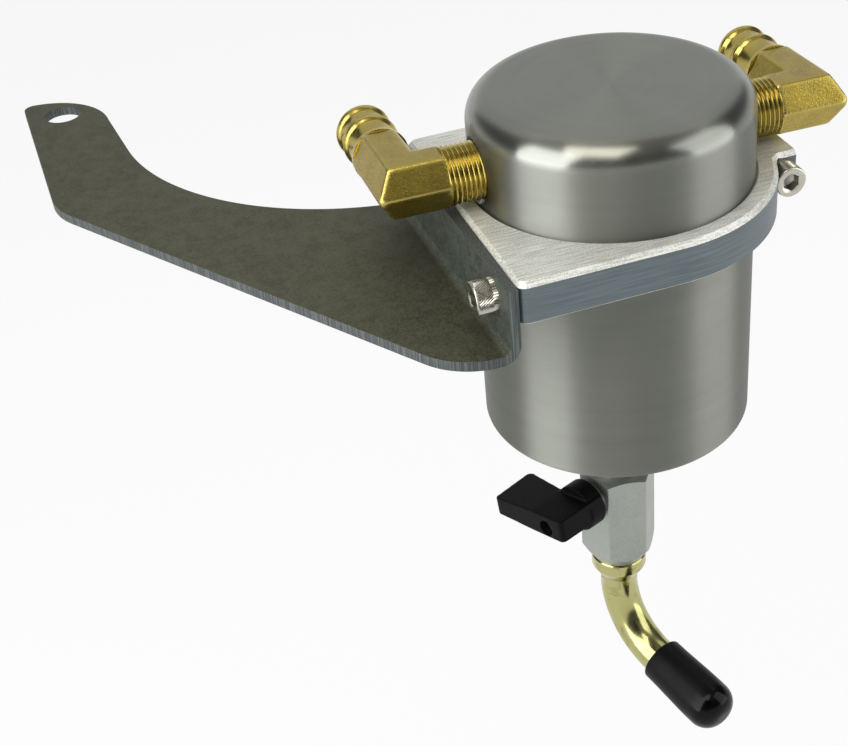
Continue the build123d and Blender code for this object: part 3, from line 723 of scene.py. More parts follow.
# Sockets of a Mix node: its two numbers, its two colours and the mixed colour
NUMBER_A, NUMBER_B, COLOUR_A, COLOUR_B, COLOUR_OUT = 2, 3, 6, 7, 2

# The range in which most of a noise's values lie
SPREAD = {"From Min": 0.3, "From Max": 0.7}


def fill(tree, node, inputs):
    """Links a node's inputs to sockets, or sets them to values."""
    for name, source in inputs.items():
        if isinstance(source, bpy.types.NodeSocket):
            tree.links.new(source, node.inputs[name])
        else:
            node.inputs[name].default_value = source


def add(tree, kind, inputs=None, output=0, **settings):
    """Adds a node, sets it up, fills its inputs and returns one of its outputs."""
    node = tree.nodes.new(kind)
    for name, value in settings.items():
        setattr(node, name, value)
    fill(tree, node, inputs or {})
    return node.outputs[output]


def new_material(name):
    """A new material, its node tree and its shader."""
    material = bpy.data.materials.new(name)
    material.use_nodes = True
    tree = material.node_tree
    return material, tree, tree.nodes["Principled BSDF"]


def rgba(colour):
    """A colour property with full alpha."""
    return (*colour, 1.0)


def spacing(millimetres):
    """Scale of a texture whose pattern repeats at this distance."""
    return 1 / (millimetres * MM)


def turned_aluminium(colours):
    """Aluminium off the lathe: fine grooves run round it and draw every reflection out along the axis."""
    material, tree, shader = new_material("turned_aluminium")
    place = add(tree, COORDINATES, output="Object")
    centred = add(tree, VECTOR, {0: place, 1: (AXIS_X, AXIS_Y, PLATE_TOP)}, operation="SUBTRACT")
    level = add(tree, VECTOR, {0: centred, 1: (1, 1, 0)}, operation="MULTIPLY")
    radius = add(tree, VECTOR, {0: level}, "Value", operation="LENGTH")
    height = add(tree, PARTS, {0: centred}, "Z")
    along = add(tree, MATH, {0: radius, 1: height}, operation="SUBTRACT")
    round_it = add(tree, VECTOR, {0: (0, 0, 1), 1: level}, operation="CROSS_PRODUCT")
    # The feed marks are about 0.1 mm apart; a quarter of a millimetre is the finest that shows
    groove = add(tree, NOISE, {"W": along, "Scale": spacing(0.25), "Detail": 2.0}, noise_dimensions="1D")
    band = add(tree, NOISE, {"W": along, "Scale": spacing(4), "Detail": 2.0}, noise_dimensions="1D")
    cloud = add(tree, NOISE, {"Vector": place, "Scale": spacing(14), "Detail": 3.0})
    shade = add(tree, MATH, {0: band, 1: cloud}, operation="MULTIPLY")
    tones = {0: shade, COLOUR_A: rgba(colours.aluminium), COLOUR_B: rgba(colours.aluminium_dark)}
    colour = add(tree, MIX, tones, COLOUR_OUT, data_type="RGBA")
    # The cap's face and rounding are polished finer than the upright walls
    facing = add(tree, GEOMETRY, output="Normal")
    rise = add(tree, PARTS, {0: facing}, "Z")
    turning_up = {"Value": rise, "From Min": 0.02, "From Max": 0.4}
    polish = add(tree, RANGE, turning_up, interpolation_type="SMOOTHSTEP")
    wall = add(tree, RANGE, {"Value": groove, **SPREAD, "To Min": 0.46, "To Max": 0.52})
    face = add(tree, RANGE, {"Value": groove, **SPREAD, "To Min": 0.21, "To Max": 0.26})
    rough = add(tree, MIX, {0: polish, NUMBER_A: wall, NUMBER_B: face})
    bump = add(tree, BUMP, {"Height": groove, "Strength": 0.06, "Distance": 0.02 * MM})
    fill(tree, shader, {"Base Color": colour, "Roughness": rough, "Normal": bump, "Tangent": round_it})
    fill(tree, shader, {"Metallic": 1.0, "Anisotropic": 0.95, "Anisotropic Rotation": 0.25})
    return material


def milled_aluminium(colours):
    """Aluminium bar stock: faces fly-cut to a bright satin, sides sawn and greyer with lines along them,
    their darker, bluer tone partly a painted reflection.
    """
    material, tree, shader = new_material("milled_aluminium")
    place = add(tree, COORDINATES, output="Object")
    facing = add(tree, GEOMETRY, output="True Normal")
    upright = add(tree, PARTS, {0: facing}, "Z")
    upright = add(tree, MATH, {0: upright}, operation="ABSOLUTE")
    turning_level = {"Value": upright, "From Min": 0.15, "From Max": 0.6}
    face = add(tree, RANGE, turning_level, interpolation_type="SMOOTHSTEP")
    # Cutter marks 0.5 mm apart run along the plate, and side streaks are drawn out along its edge
    drawn_out = add(tree, MAPPING, {"Vector": place, "Scale": (0.06, 1.0, 1.0)})
    streak = add(tree, NOISE, {"Vector": drawn_out, "Scale": spacing(0.5), "Detail": 3.0})
    drawn_round = add(tree, MAPPING, {"Vector": place, "Scale": (0.05, 0.05, 1.0)})
    side_streak = add(tree, NOISE, {"Vector": drawn_round, "Scale": spacing(0.7), "Detail": 4.0})
    speck = add(tree, NOISE, {"Vector": place, "Scale": spacing(0.4), "Detail": 3.0})
    pattern = add(tree, MIX, {0: face, NUMBER_A: side_streak, NUMBER_B: streak})
    # A faint step is left nearly halfway down the sides, where two cutter passes meet
    height = add(tree, PARTS, {0: place}, "Z")
    meeting = PLATE_TOP - 0.42 * PLATE_THICKNESS * MM
    from_step = add(tree, MATH, {0: height, 1: meeting}, operation="SUBTRACT")
    from_step = add(tree, MATH, {0: from_step}, operation="ABSOLUTE")
    step_line = add(tree, RANGE, {"Value": from_step, "From Max": 0.22 * MM, "To Min": 1.0, "To Max": 0.0})
    # The sides' colour: sawn finish and lines, in a darker, bluer tone that is partly a painted reflection
    tones = {0: side_streak, COLOUR_A: rgba(colours.milled_dark), COLOUR_B: rgba(colours.milled_side)}
    side_colour = add(tree, MIX, tones, COLOUR_OUT, data_type="RGBA")
    mark = add(tree, MATH, {0: streak, 1: speck}, operation="ADD")
    mark = add(tree, RANGE, {"Value": mark, "From Min": 0.8, "From Max": 1.15})
    tones = {0: mark, COLOUR_A: rgba(colours.milled_grain), COLOUR_B: rgba(colours.milled)}
    face_colour = add(tree, MIX, tones, COLOUR_OUT, data_type="RGBA")
    sides = {0: face, COLOUR_A: side_colour, COLOUR_B: face_colour}
    colour = add(tree, MIX, sides, COLOUR_OUT, data_type="RGBA")
    rough = add(tree, RANGE, {"Value": pattern, **SPREAD, "To Min": 0.38, "To Max": 0.52})
    relief = add(tree, MATH, {0: pattern, 1: speck}, operation="ADD")
    relief = add(tree, MATH, {0: relief, 1: step_line}, operation="SUBTRACT")
    bump = add(tree, BUMP, {"Height": relief, "Strength": 0.5, "Distance": 0.06 * MM})
    fill(tree, shader, {"Base Color": colour, "Roughness": rough, "Normal": bump, "Metallic": 0.5})
    return material


def sheet_steel(colours):
    """Tumbled sheet steel: a dull, mottled olive skin, a flange whose bluer tone is a painted reflection, and
    brighter cut edges with upright striations.
    """
    material, tree, shader = new_material("sheet_steel")
    place = add(tree, COORDINATES, output="Object")
    normal = add(tree, GEOMETRY, output="True Normal")
    facing = add(tree, PARTS, {0: normal}).node.outputs
    flat = add(tree, MATH, {0: facing["Z"]}, operation="ABSOLUTE")
    across = add(tree, MATH, {0: facing["X"]}, operation="ABSOLUTE")
    height = add(tree, PARTS, {0: place}, "Z")
    # The arm's faces are level and lie below the flange; the flange's faces look along X above the arm
    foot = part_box("mounting_bracket")[0].z
    above = add(tree, MATH, {0: height, 1: foot + 3.4 * MM}, operation="GREATER_THAN")
    flange = add(tree, MATH, {0: across, 1: above}, operation="MULTIPLY")
    below = add(tree, MATH, {0: height, 1: foot + 12 * MM}, operation="LESS_THAN")
    arm = add(tree, MATH, {0: flat, 1: below}, operation="MULTIPLY")
    skin = add(tree, MATH, {0: arm, 1: flange}, operation="MAXIMUM")
    cut = add(tree, RANGE, {"Value": skin, "From Min": 0.3, "From Max": 0.6, "To Min": 1.0, "To Max": 0.0})
    grain = add(tree, NOISE, {"Vector": place, "Scale": spacing(0.7), "Detail": 3.0})
    mottle = add(tree, NOISE, {"Vector": place, "Scale": spacing(5), "Detail": 5.0})
    drawn_up = add(tree, MAPPING, {"Vector": place, "Scale": (1.0, 1.0, 0.02)})
    striation = add(tree, NOISE, {"Vector": drawn_up, "Scale": spacing(0.45), "Detail": 3.0})
    mottle = add(tree, MATH, {0: mottle, 1: 0.45}, operation="MULTIPLY")
    blend = add(tree, MATH, {0: mottle, 1: grain}, operation="ADD")
    blend = add(tree, RANGE, {"Value": blend, "From Min": 0.55, "From Max": 0.85})
    # Painted reflection: the flange's faces get a bluer tone for the cool light they reflect
    tones = {0: flange, COLOUR_A: rgba(colours.sheet), COLOUR_B: rgba(colours.sheet_flange)}
    tone = add(tree, MIX, tones, COLOUR_OUT, data_type="RGBA")
    tones = {0: blend, COLOUR_A: rgba(colours.sheet_dark), COLOUR_B: tone}
    skin_colour = add(tree, MIX, tones, COLOUR_OUT, data_type="RGBA")
    line = add(tree, RANGE, {"Value": striation, "From Min": 0.42, "From Max": 0.72})
    tones = {0: line, COLOUR_A: rgba(colours.sheet_burnt), COLOUR_B: rgba(colours.sheet_cut)}
    cut_colour = add(tree, MIX, tones, COLOUR_OUT, data_type="RGBA")
    tones = {0: cut, COLOUR_A: skin_colour, COLOUR_B: cut_colour}
    colour = add(tree, MIX, tones, COLOUR_OUT, data_type="RGBA")
    rough = add(tree, RANGE, {"Value": grain, **SPREAD, "To Min": 0.5, "To Max": 0.66})
    relief = add(tree, MIX, {0: cut, NUMBER_A: grain, NUMBER_B: striation})
    bump = add(tree, BUMP, {"Height": relief, "Strength": 0.35, "Distance": 0.08 * MM})
    fill(tree, shader, {"Base Color": colour, "Roughness": rough, "Normal": bump, "Metallic": 0.75})
    return material


def forged_brass(colours):
    """Yellow brass forging: a tumbled, sandy skin, bright where it is rubbed and browner in soft clouds."""
    material, tree, shader = new_material("forged_brass")
    place = add(tree, COORDINATES, output="Object")
    sand = add(tree, NOISE, {"Vector": place, "Scale": spacing(0.5), "Detail": 4.0})
    cloud = add(tree, NOISE, {"Vector": place, "Scale": spacing(5), "Detail": 4.0})
    worn = add(tree, GEOMETRY, output="Pointiness")
    rub = add(tree, RANGE, {"Value": worn, "From Min": 0.5, "From Max": 0.54})
    dull = add(tree, RANGE, {"Value": cloud, "From Min": 0.4, "From Max": 0.75, "To Max": 0.35})
    tones = {0: dull, COLOUR_A: rgba(colours.brass_forged), COLOUR_B: rgba(colours.brass_dark)}
    base = add(tree, MIX, tones, COLOUR_OUT, data_type="RGBA")
    # The crowns of the sandy skin are rubbed brighter than its pits
    crown = add(tree, RANGE, {"Value": sand, "From Min": 0.5, "From Max": 0.8, "To Max": 0.5})
    crown = add(tree, MATH, {0: crown, 1: rub}, operation="MAXIMUM")
    tones = {0: crown, COLOUR_A: base, COLOUR_B: rgba(colours.brass_rubbed)}
    colour = add(tree, MIX, tones, COLOUR_OUT, data_type="RGBA")
    gloss = {"Value": sand, "From Min": 0.35, "From Max": 0.65, "To Min": 0.38, "To Max": 0.27}
    rough = add(tree, RANGE, gloss)
    bump = add(tree, BUMP, {"Height": sand, "Strength": 0.8, "Distance": 0.1 * MM})
    fill(tree, shader, {"Base Color": colour, "Roughness": rough, "Normal": bump, "Metallic": 1.0})
    return material


def machined_brass(colours):
    """Brass cut on a lathe: warm and glossy, with tarnish in the thread and faint tool chatter."""
    material, tree, shader = new_material("machined_brass")
    place = add(tree, COORDINATES, output="Object")
    stain = add(tree, NOISE, {"Vector": place, "Scale": spacing(1.6), "Detail": 4.0})
    chatter = add(tree, NOISE, {"Vector": place, "Scale": spacing(0.35), "Detail": 2.0})
    hollow = add(tree, GEOMETRY, output="Pointiness")
    hollows = {"Value": hollow, "From Min": 0.4, "From Max": 0.49, "To Min": 0.7, "To Max": 0.0}
    deep = add(tree, RANGE, hollows)
    spots = add(tree, RANGE, {"Value": stain, "From Min": 0.55, "From Max": 0.8, "To Max": 0.4})
    dark = add(tree, MATH, {0: deep, 1: spots}, operation="MAXIMUM")
    tones = {0: dark, COLOUR_A: rgba(colours.brass), COLOUR_B: rgba(colours.brass_dark)}
    colour = add(tree, MIX, tones, COLOUR_OUT, data_type="RGBA")
    rough = add(tree, RANGE, {"Value": stain, **SPREAD, "To Min": 0.16, "To Max": 0.3})
    bump = add(tree, BUMP, {"Height": chatter, "Strength": 0.12, "Distance": 0.03 * MM})
    fill(tree, shader, {"Base Color": colour, "Roughness": rough, "Normal": bump, "Metallic": 1.0})
    return material


def stainless_steel(colours):
    """Cold-headed stainless screw: satin, darkened in the knurl, the socket and the thread, partly by dirt
    and partly as painted shade.
    """
    material, tree, shader = new_material("stainless_steel")
    place = add(tree, COORDINATES, output="Object")
    smear = add(tree, NOISE, {"Vector": place, "Scale": spacing(1.5), "Detail": 4.0})
    # Hollows are darkened: partly dirt, partly painted shade in the knurl, socket and thread
    hollow = add(tree, GEOMETRY, output="Pointiness")
    hollows = {"Value": hollow, "From Min": 0.4, "From Max": 0.5, "To Min": 0.85, "To Max": 0.0}
    grime_and_shade = add(tree, RANGE, hollows)
    tones = {0: grime_and_shade, COLOUR_A: rgba(colours.stainless), COLOUR_B: rgba(colours.stainless_grime_and_shade)}
    colour = add(tree, MIX, tones, COLOUR_OUT, data_type="RGBA")
    rough = add(tree, RANGE, {"Value": smear, **SPREAD, "To Min": 0.2, "To Max": 0.34})
    bump = add(tree, BUMP, {"Height": smear, "Strength": 0.1, "Distance": 0.03 * MM})
    fill(tree, shader, {"Base Color": colour, "Roughness": rough, "Normal": bump, "Metallic": 1.0})
    return material


def nickel_plate(colours):
    """Dull nickel plate over hexagon bar: pale grey with a fine granular skin."""
    material, tree, shader = new_material("dull_nickel_plate")
    place = add(tree, COORDINATES, output="Object")
    grain = add(tree, NOISE, {"Vector": place, "Scale": spacing(0.5), "Detail": 3.0})
    cloud = add(tree, NOISE, {"Vector": place, "Scale": spacing(6), "Detail": 3.0})
    darker = [share * 0.6 for share in colours.valve]
    tones = {0: grain, COLOUR_A: rgba(darker), COLOUR_B: rgba(colours.valve)}
    colour = add(tree, MIX, tones, COLOUR_OUT, data_type="RGBA")
    rough = add(tree, RANGE, {"Value": cloud, **SPREAD, "To Min": 0.36, "To Max": 0.48})
    bump = add(tree, BUMP, {"Height": grain, "Strength": 0.7, "Distance": 0.08 * MM})
    fill(tree, shader, {"Base Color": colour, "Roughness": rough, "Normal": bump, "Metallic": 0.8})
    return material


def yellow_zinc(colours):
    """Yellow-chromated zinc on steel tube: a bright pale-gold mirror, slightly dimpled, with dark stains."""
    material, tree, shader = new_material("yellow_zinc_plate")
    place = add(tree, COORDINATES, output="Object")
    stain = add(tree, NOISE, {"Vector": place, "Scale": spacing(5), "Detail": 5.0, "Distortion": 0.6})
    dimple = add(tree, NOISE, {"Vector": place, "Scale": spacing(1.4), "Detail": 2.0})
    spots = add(tree, RANGE, {"Value": stain, "From Min": 0.52, "From Max": 0.7, "To Max": 0.5})
    tones = {0: spots, COLOUR_A: rgba(colours.zinc), COLOUR_B: rgba(colours.zinc_dark)}
    colour = add(tree, MIX, tones, COLOUR_OUT, data_type="RGBA")
    rough = add(tree, RANGE, {"Value": stain, **SPREAD, "To Min": 0.13, "To Max": 0.26})
    bump = add(tree, BUMP, {"Height": dimple, "Strength": 0.3, "Distance": 0.06 * MM})
    fill(tree, shader, {"Base Color": colour, "Roughness": rough, "Normal": bump, "Metallic": 1.0})
    return material


def plain_finish(name, colour, metallic, roughness, grain, depth, contrast, specular=0.5):
    """A finish whose colour, gloss and relief follow one grain, its size and depth in millimetres."""
    material, tree, shader = new_material(name)
    place = add(tree, COORDINATES, output="Object")
    speck = add(tree, NOISE, {"Vector": place, "Scale": spacing(grain), "Detail": 3.0})
    darker = [share * (1 - contrast) for share in colour]
    tones = {0: speck, COLOUR_A: rgba(darker), COLOUR_B: rgba(colour)}
    mixed = add(tree, MIX, tones, COLOUR_OUT, data_type="RGBA")
    rough = add(tree, RANGE, {"Value": speck, **SPREAD, "To Min": roughness, "To Max": roughness * 1.25})
    bump = add(tree, BUMP, {"Height": speck, "Strength": 0.4, "Distance": depth * MM})
    fill(tree, shader, {"Base Color": mixed, "Roughness": rough, "Normal": bump, "Metallic": metallic})
    shader.inputs["Specular IOR Level"].default_value = specular
    return material


def glass_nylon(colours):
    """Glass-filled black nylon: moulded matt, with a fine spark-eroded grain."""
    return plain_finish(
        "glass_filled_nylon",
        colours.plastic,
        metallic=0.0,
        roughness=0.48,
        grain=0.5,
        depth=0.06,
        contrast=0.35,
        specular=0.1,
    )


def dipped_vinyl(colours, tip, direction, dome):
    """Black dipped vinyl: matt along the sleeve, and glossy over the tip, where the dip ran together."""
    material, tree, shader = new_material("dipped_vinyl")
    place = add(tree, COORDINATES, output="Object")
    from_tip = add(tree, VECTOR, {0: place, 1: tip}, operation="SUBTRACT")
    along = add(tree, VECTOR, {0: from_tip, 1: direction}, "Value", operation="DOT_PRODUCT")
    over_tip = {"Value": along, "From Min": -1.5 * dome, "From Max": -0.8 * dome}
    rough = add(tree, RANGE, {**over_tip, "To Min": 0.45, "To Max": 0.16})
    speck = add(tree, NOISE, {"Vector": place, "Scale": spacing(0.9), "Detail": 3.0})
    bump = add(tree, BUMP, {"Height": speck, "Strength": 0.4, "Distance": 0.02 * MM})
    fill(tree, shader, {"Base Color": rgba(colours.vinyl), "Roughness": rough, "Normal": bump})
    shader.inputs["Specular IOR Level"].default_value = 0.15
    return material


def nitrile_rubber(colours):
    """Moulded nitrile rubber: black, dull and slightly dusty."""
    return plain_finish(
        "nitrile_rubber",
        colours.rubber,
        metallic=0.0,
        roughness=0.55,
        grain=0.8,
        depth=0.02,
        contrast=0.3,
    )


def seat_ptfe(colours):
    """Turned fluoroplastic seat: waxy white."""
    return plain_finish(
        "white_fluoroplastic",
        colours.seat,
        metallic=0.0,
        roughness=0.4,
        grain=1.2,
        depth=0.02,
        contrast=0.08,
    )


def ground_steel(colours):
    """Ground and polished steel: bright with fine wheel marks."""
    return plain_finish(
        "ground_steel",
        colours.bright_steel,
        metallic=1.0,
        roughness=0.22,
        grain=0.6,
        depth=0.02,
        contrast=0.15,
    )


def knitted_wire(colours):
    """Knitted stainless wire, pressed to a pad: crossed bright wires over gaps painted dark as shade."""
    material, tree, shader = new_material("knitted_wire")
    place = add(tree, COORDINATES, output="Object")
    knit = {"Vector": place, "Scale": spacing(1.1) / FULL_TURN, "Distortion": 3.0, "Detail": 2.0}
    along_x, along_y = [
        add(tree, "ShaderNodeTexWave", knit, "Fac", bands_direction=direction) for direction in ("X", "Y")
    ]
    wires = add(tree, MATH, {0: along_x, 1: along_y}, operation="MAXIMUM")
    # Painted shade: the gaps between the wires are painted dark
    dark = [share * 0.15 for share in colours.wire]
    tones = {0: wires, COLOUR_A: rgba(dark), COLOUR_B: rgba(colours.wire)}
    colour = add(tree, MIX, tones, COLOUR_OUT, data_type="RGBA")
    bump = add(tree, BUMP, {"Height": wires, "Strength": 1.0, "Distance": 0.4 * MM})
    fill(tree, shader, {"Base Color": colour, "Normal": bump, "Metallic": 1.0, "Roughness": 0.35})
    return material


# Operators


class CATCHCAN_OT_upper_housing(bpy.types.Operator):
    """Turns the upper housing and bores its two ports"""

    bl_idname = "catchcan.upper_housing"
    bl_label = "Upper housing"

    def execute(self, context):
        sizes = context.scene.catch_can.can
        foot = -context.scene.catch_can.plate.thickness
        chamber = sizes.radius - sizes.port_wall
        skirt = sizes.radius - sizes.skirt_wall
        groove = skirt + sizes.groove_depth
        groove_foot = -sizes.groove_top - sizes.groove_height
        edge = sizes.cap_edge
        roof = sizes.cap_height - sizes.cap_roof
        crown = arc((sizes.radius - edge, sizes.cap_height - edge), edge, math.pi / 2, 0, 16)
        levels = [(sizes.radius, sizes.port_height + side * sizes.port_bore * 1.06) for side in (1, 0, -1)]
        outline = [
            (0, sizes.cap_height),
            *[(sizes.radius * share, sizes.cap_height) for share in (0.25, 0.5, 0.7)],
            *crown,
            *levels,
            (sizes.radius, foot + sizes.edge_break),
            (sizes.radius - sizes.edge_break, foot),
            (skirt, foot),
            (skirt, groove_foot),
            (groove, groove_foot),
            (groove, -sizes.groove_top),
            (skirt, -sizes.groove_top),
            (skirt, -sizes.shoulder),
            (chamber, -sizes.shoulder),
            (chamber, roof),
            (0, roof),
        ]
        piece = turned("upper_housing_turned", outline, CAN_STEPS)
        across = 2 * sizes.radius
        ports = bar("ports", sizes.port_bore, (-across, 0, 0), (across, 0, 0), FITTING_STEPS)
        lay(ports, Matrix.Translation((0, 0, sizes.port_height)) @ Matrix.Rotation(sizes.port_turn, 4, "Z"))
        sinks = [self.countersink(sizes, side) for side in (0, math.pi)]
        combine(piece, "DIFFERENCE", ports, *sinks)
        lay(piece, HOME)
        colours = context.scene.catch_can.colours
        dress(piece, turned_aluminium(colours), "housing", "turned_aluminium", "upper_housing")
        return {"FINISHED"}

    def countersink(self, sizes, side):
        """Cone that breaks the edge of a port, on one side of the can."""
        deep = sizes.radius - sizes.port_sink - sizes.port_bore**2 / sizes.radius / 2
        wide = sizes.port_bore + sizes.radius - deep
        outline = [
            (0, deep),
            (sizes.port_bore, deep),
            (wide, sizes.radius),
            (wide, 2 * sizes.radius),
            (0, 2 * sizes.radius),
        ]
        cone = turned("countersink", outline, FITTING_STEPS)
        port = Matrix.Translation((0, 0, sizes.port_height)) @ Matrix.Rotation(sizes.port_turn + side, 4, "Z")
        return lay(cone, port @ Matrix.Rotation(math.pi / 2, 4, "Y"))


class CATCHCAN_OT_lower_cup(bpy.types.Operator):
    """Turns the lower cup with its threaded neck, seal groove and drain boss"""

    bl_idname = "catchcan.lower_cup"
    bl_label = "Lower cup"

    def execute(self, context):
        sizes = context.scene.catch_can.can
        rim = -context.scene.catch_can.plate.thickness
        top = rim - sizes.seam
        neck = sizes.radius - sizes.skirt_wall - sizes.neck_gap
        seal = neck - sizes.seal_depth
        inner = sizes.radius - sizes.cup_wall
        floor = sizes.cup_floor - sizes.cup_depth
        foot = -sizes.cup_depth - sizes.boss_height
        chamfer = sizes.edge_break
        edge = sizes.cup_edge
        heel = arc((sizes.radius - edge, edge - sizes.cup_depth), edge, -math.pi / 2, 0, 10)
        crest = rim + sizes.seal_high
        ridges = []
        while crest + sizes.thread_pitch < -sizes.neck_top:
            ridges.append((neck, crest + RIDGE_CREST * sizes.thread_pitch))
            ridges.append((neck - sizes.thread_depth, crest + RIDGE_ROOT * sizes.thread_pitch))
            crest += sizes.thread_pitch
        outline = [
            (sizes.boss_bore, foot),
            (sizes.boss_radius - chamfer, foot),
            (sizes.boss_radius, foot + chamfer),
            (sizes.boss_radius, -sizes.cup_depth),
            *heel,
            (sizes.radius, top - chamfer),
            (sizes.radius - chamfer, top),
            (neck, top),
            (neck, rim + sizes.seal_low),
            (seal, rim + sizes.seal_low),
            (seal, rim + sizes.seal_high),
            *ridges,
            (neck, crest + RIDGE_CREST * sizes.thread_pitch),
            (neck - chamfer, -sizes.neck_top),
            (neck - sizes.neck_wall, -sizes.neck_top),
            (neck - sizes.neck_wall, top - sizes.neck_root),
            (inner, top - sizes.neck_root - sizes.neck_taper),
            (inner, floor),
            (sizes.boss_bore, floor),
        ]
        piece = lay(turned("lower_cup_turned", outline, CAN_STEPS), HOME)
        colours = context.scene.catch_can.colours
        dress(piece, turned_aluminium(colours), "cup", "turned_aluminium", "lower_cup")
        return {"FINISHED"}


class CATCHCAN_OT_clamp_plate(bpy.types.Operator):
    """Mills the split clamp plate from its outline"""

    bl_idname = "catchcan.clamp_plate"
    bl_label = "Clamp plate"

    def execute(self, context):
        sizes = context.scene.catch_can.plate
        bracket = context.scene.catch_can.bracket
        foot = -sizes.thickness
        uncut = sizes.ear_reach + sizes.top_chamfer
        fillet = sizes.ear_fillet
        side = sizes.ear_half + fillet
        hollow = math.sqrt((sizes.nose + fillet) ** 2 - side**2)
        lean = math.atan2(side, hollow)
        corner = (sizes.corner - sizes.back, sizes.nose - sizes.corner)
        half = [
            (uncut, sizes.ear_half),
            *arc((hollow, side), fillet, -math.pi / 2, lean - math.pi, 8),
            *arc((0, 0), sizes.nose, lean, math.pi / 2, 56)[1:],
            *arc(corner, sizes.corner, math.pi / 2, math.pi, 8),
        ]
        outline = half + [(x, -y) for x, y in reversed(half)]
        piece = prism("clamp_plate_milled", [(x, y, foot) for x, y in outline], (0, 0, sizes.thickness))
        for level, chamfer in ((0, sizes.top_chamfer), (foot, sizes.bottom_chamfer)):
            pick(piece, "EDGE", lambda point: abs(point.z - level) < NEAR)
            bpy.ops.mesh.bevel(offset=chamfer, segments=1, affect="EDGES")
        bpy.ops.mesh.select_all(action="SELECT")
        ear_end = (sizes.ear_reach, 0, 0)
        bpy.ops.mesh.bisect(plane_co=ear_end, plane_no=(1, 0, 0), use_fill=True, clear_outer=True)
        wide = sizes.bore + sizes.bore_chamfer
        bore = turned(
            "bore",
            [
                (0, foot - sizes.thickness),
                (sizes.bore, foot - sizes.thickness),
                (sizes.bore, -sizes.bore_chamfer),
                (wide, 0),
                (wide, sizes.thickness),
                (0, sizes.thickness),
            ],
            CAN_STEPS,
        )
        gap = sizes.slot / 2
        slot = block("slot", (0, -gap, 2 * foot), (2 * sizes.ear_reach, gap, sizes.thickness))
        level = foot / 2
        near = (sizes.screw_reach, -2 * sizes.ear_half, level)
        far = (sizes.screw_reach, 2 * sizes.ear_half, level)
        cuts = [
            bar("clamp_hole", sizes.screw_hole, near, far),
            bar("spot_face", sizes.spot_face, near, (sizes.screw_reach, -sizes.ear_half, level)),
        ]
        for y in (-bracket.screw_spread, bracket.screw_spread):
            mouth = (-2 * sizes.back, y, -bracket.screw_drop)
            floor = (sizes.screw_depth - sizes.back, y, -bracket.screw_drop)
            cuts.append(bar("flange_hole", sizes.screw_hole, mouth, floor))
        combine(piece, "DIFFERENCE", bore, slot, *cuts)
        lay(piece, HOME)
        colours = context.scene.catch_can.colours
        dress(piece, milled_aluminium(colours), "housing", "milled_aluminium", "clamp_plate")
        return {"FINISHED"}


class CATCHCAN_OT_mounting_bracket(bpy.types.Operator):
    """Folds the bracket's sheet, cuts it to its plan and rounds the cut edges"""

    bl_idname = "catchcan.mounting_bracket"
    bl_label = "Mounting bracket"

    def execute(self, context):
        sizes = context.scene.catch_can.bracket
        plate = context.scene.catch_can.plate
        bottom = -sizes.arm_drop - sizes.sheet
        flange = -plate.back - sizes.sheet
        reach = -sizes.left - sizes.sheet
        long = sizes.tip_height + 2 * sizes.tip_radius
        top = -sizes.flange_drop
        upper = -sizes.arm_drop
        outer_bend = sizes.bend + sizes.sheet
        section = [
            (-plate.back, top),
            *corner_arc((-plate.back, top), (-plate.back, bottom), (reach, bottom), outer_bend, 10),
            (reach, bottom),
            (reach, upper),
            *corner_arc((reach, upper), (flange, upper), (flange, top), sizes.bend, 8),
            (flange, top),
        ]
        folded = prism("mounting_bracket_folded", [(x, -long, z) for x, z in section], (0, 2 * long, 0))
        plan = [(x, y, bottom - sizes.sheet) for x, y in self.plan(sizes, plate)]
        blank = prism("blank", plan, (0, 0, sizes.sheet - 2 * bottom))
        combine(folded, "INTERSECT", blank)
        bolt_x = -sizes.right - sizes.bolt_edge
        bolt_y = sizes.tip_height + sizes.bolt_rise
        cuts = [bar("bolt_hole", sizes.bolt_radius, (bolt_x, bolt_y, 2 * bottom), (bolt_x, bolt_y, 0))]
        for y in (-sizes.screw_spread, sizes.screw_spread):
            ends = [(x, y, -sizes.screw_drop) for x in (flange - sizes.sheet, sizes.sheet - plate.back)]
            cuts.append(bar("screw_hole", plate.screw_hole, *ends))
        combine(folded, "DIFFERENCE", *cuts)
        round_edges(folded, sizes.burr, 2, SHARP_ANGLE)
        lay(folded, HOME)
        colours = context.scene.catch_can.colours
        dress(folded, sheet_steel(colours), "housing", "sheet_steel", "mounting_bracket")
        even_normals(folded)
        return {"FINISHED"}

    def plan(self, sizes, plate):
        """Plan of the sheet: the strip along the flange and the arm that sweeps away from it."""
        start = (-plate.back, -plate.nose)
        heel = (-plate.back - sizes.heel_offset, -plate.nose)
        knee = (-sizes.left, sizes.knee_height)
        tip = (-sizes.right - sizes.tip_radius, sizes.tip_height)
        corner_x = sizes.tip_corner - sizes.left
        inside = sizes.tip_radius - sizes.tip_corner
        rise = math.sqrt(inside**2 - (corner_x - tip[0]) ** 2)
        corner = (corner_x, tip[1] + rise)
        meet = math.atan2(rise, corner_x - tip[0])
        throat_x = sizes.throat_inset + sizes.throat_radius - sizes.right
        throat_y = sizes.flange_end + math.sqrt(sizes.throat_radius**2 - (throat_x + plate.back) ** 2)
        to_tip = Vector((-sizes.right - throat_x, sizes.tip_height - throat_y))
        leave = math.atan2(to_tip.y, to_tip.x) + math.acos(sizes.throat_radius / to_tip.length)
        land = math.atan2(sizes.flange_end - throat_y, -plate.back - throat_x) + FULL_TURN
        return [
            start,
            *corner_arc(start, heel, knee, sizes.heel_radius, 14),
            *corner_arc(heel, knee, (-sizes.left, tip[1]), sizes.knee_radius, 14),
            *arc(corner, sizes.tip_corner, math.pi, meet, 8),
            *arc(tip, sizes.tip_radius, meet, 0, 36)[1:],
            *arc((throat_x, throat_y), sizes.throat_radius, leave, land, 48),
        ]


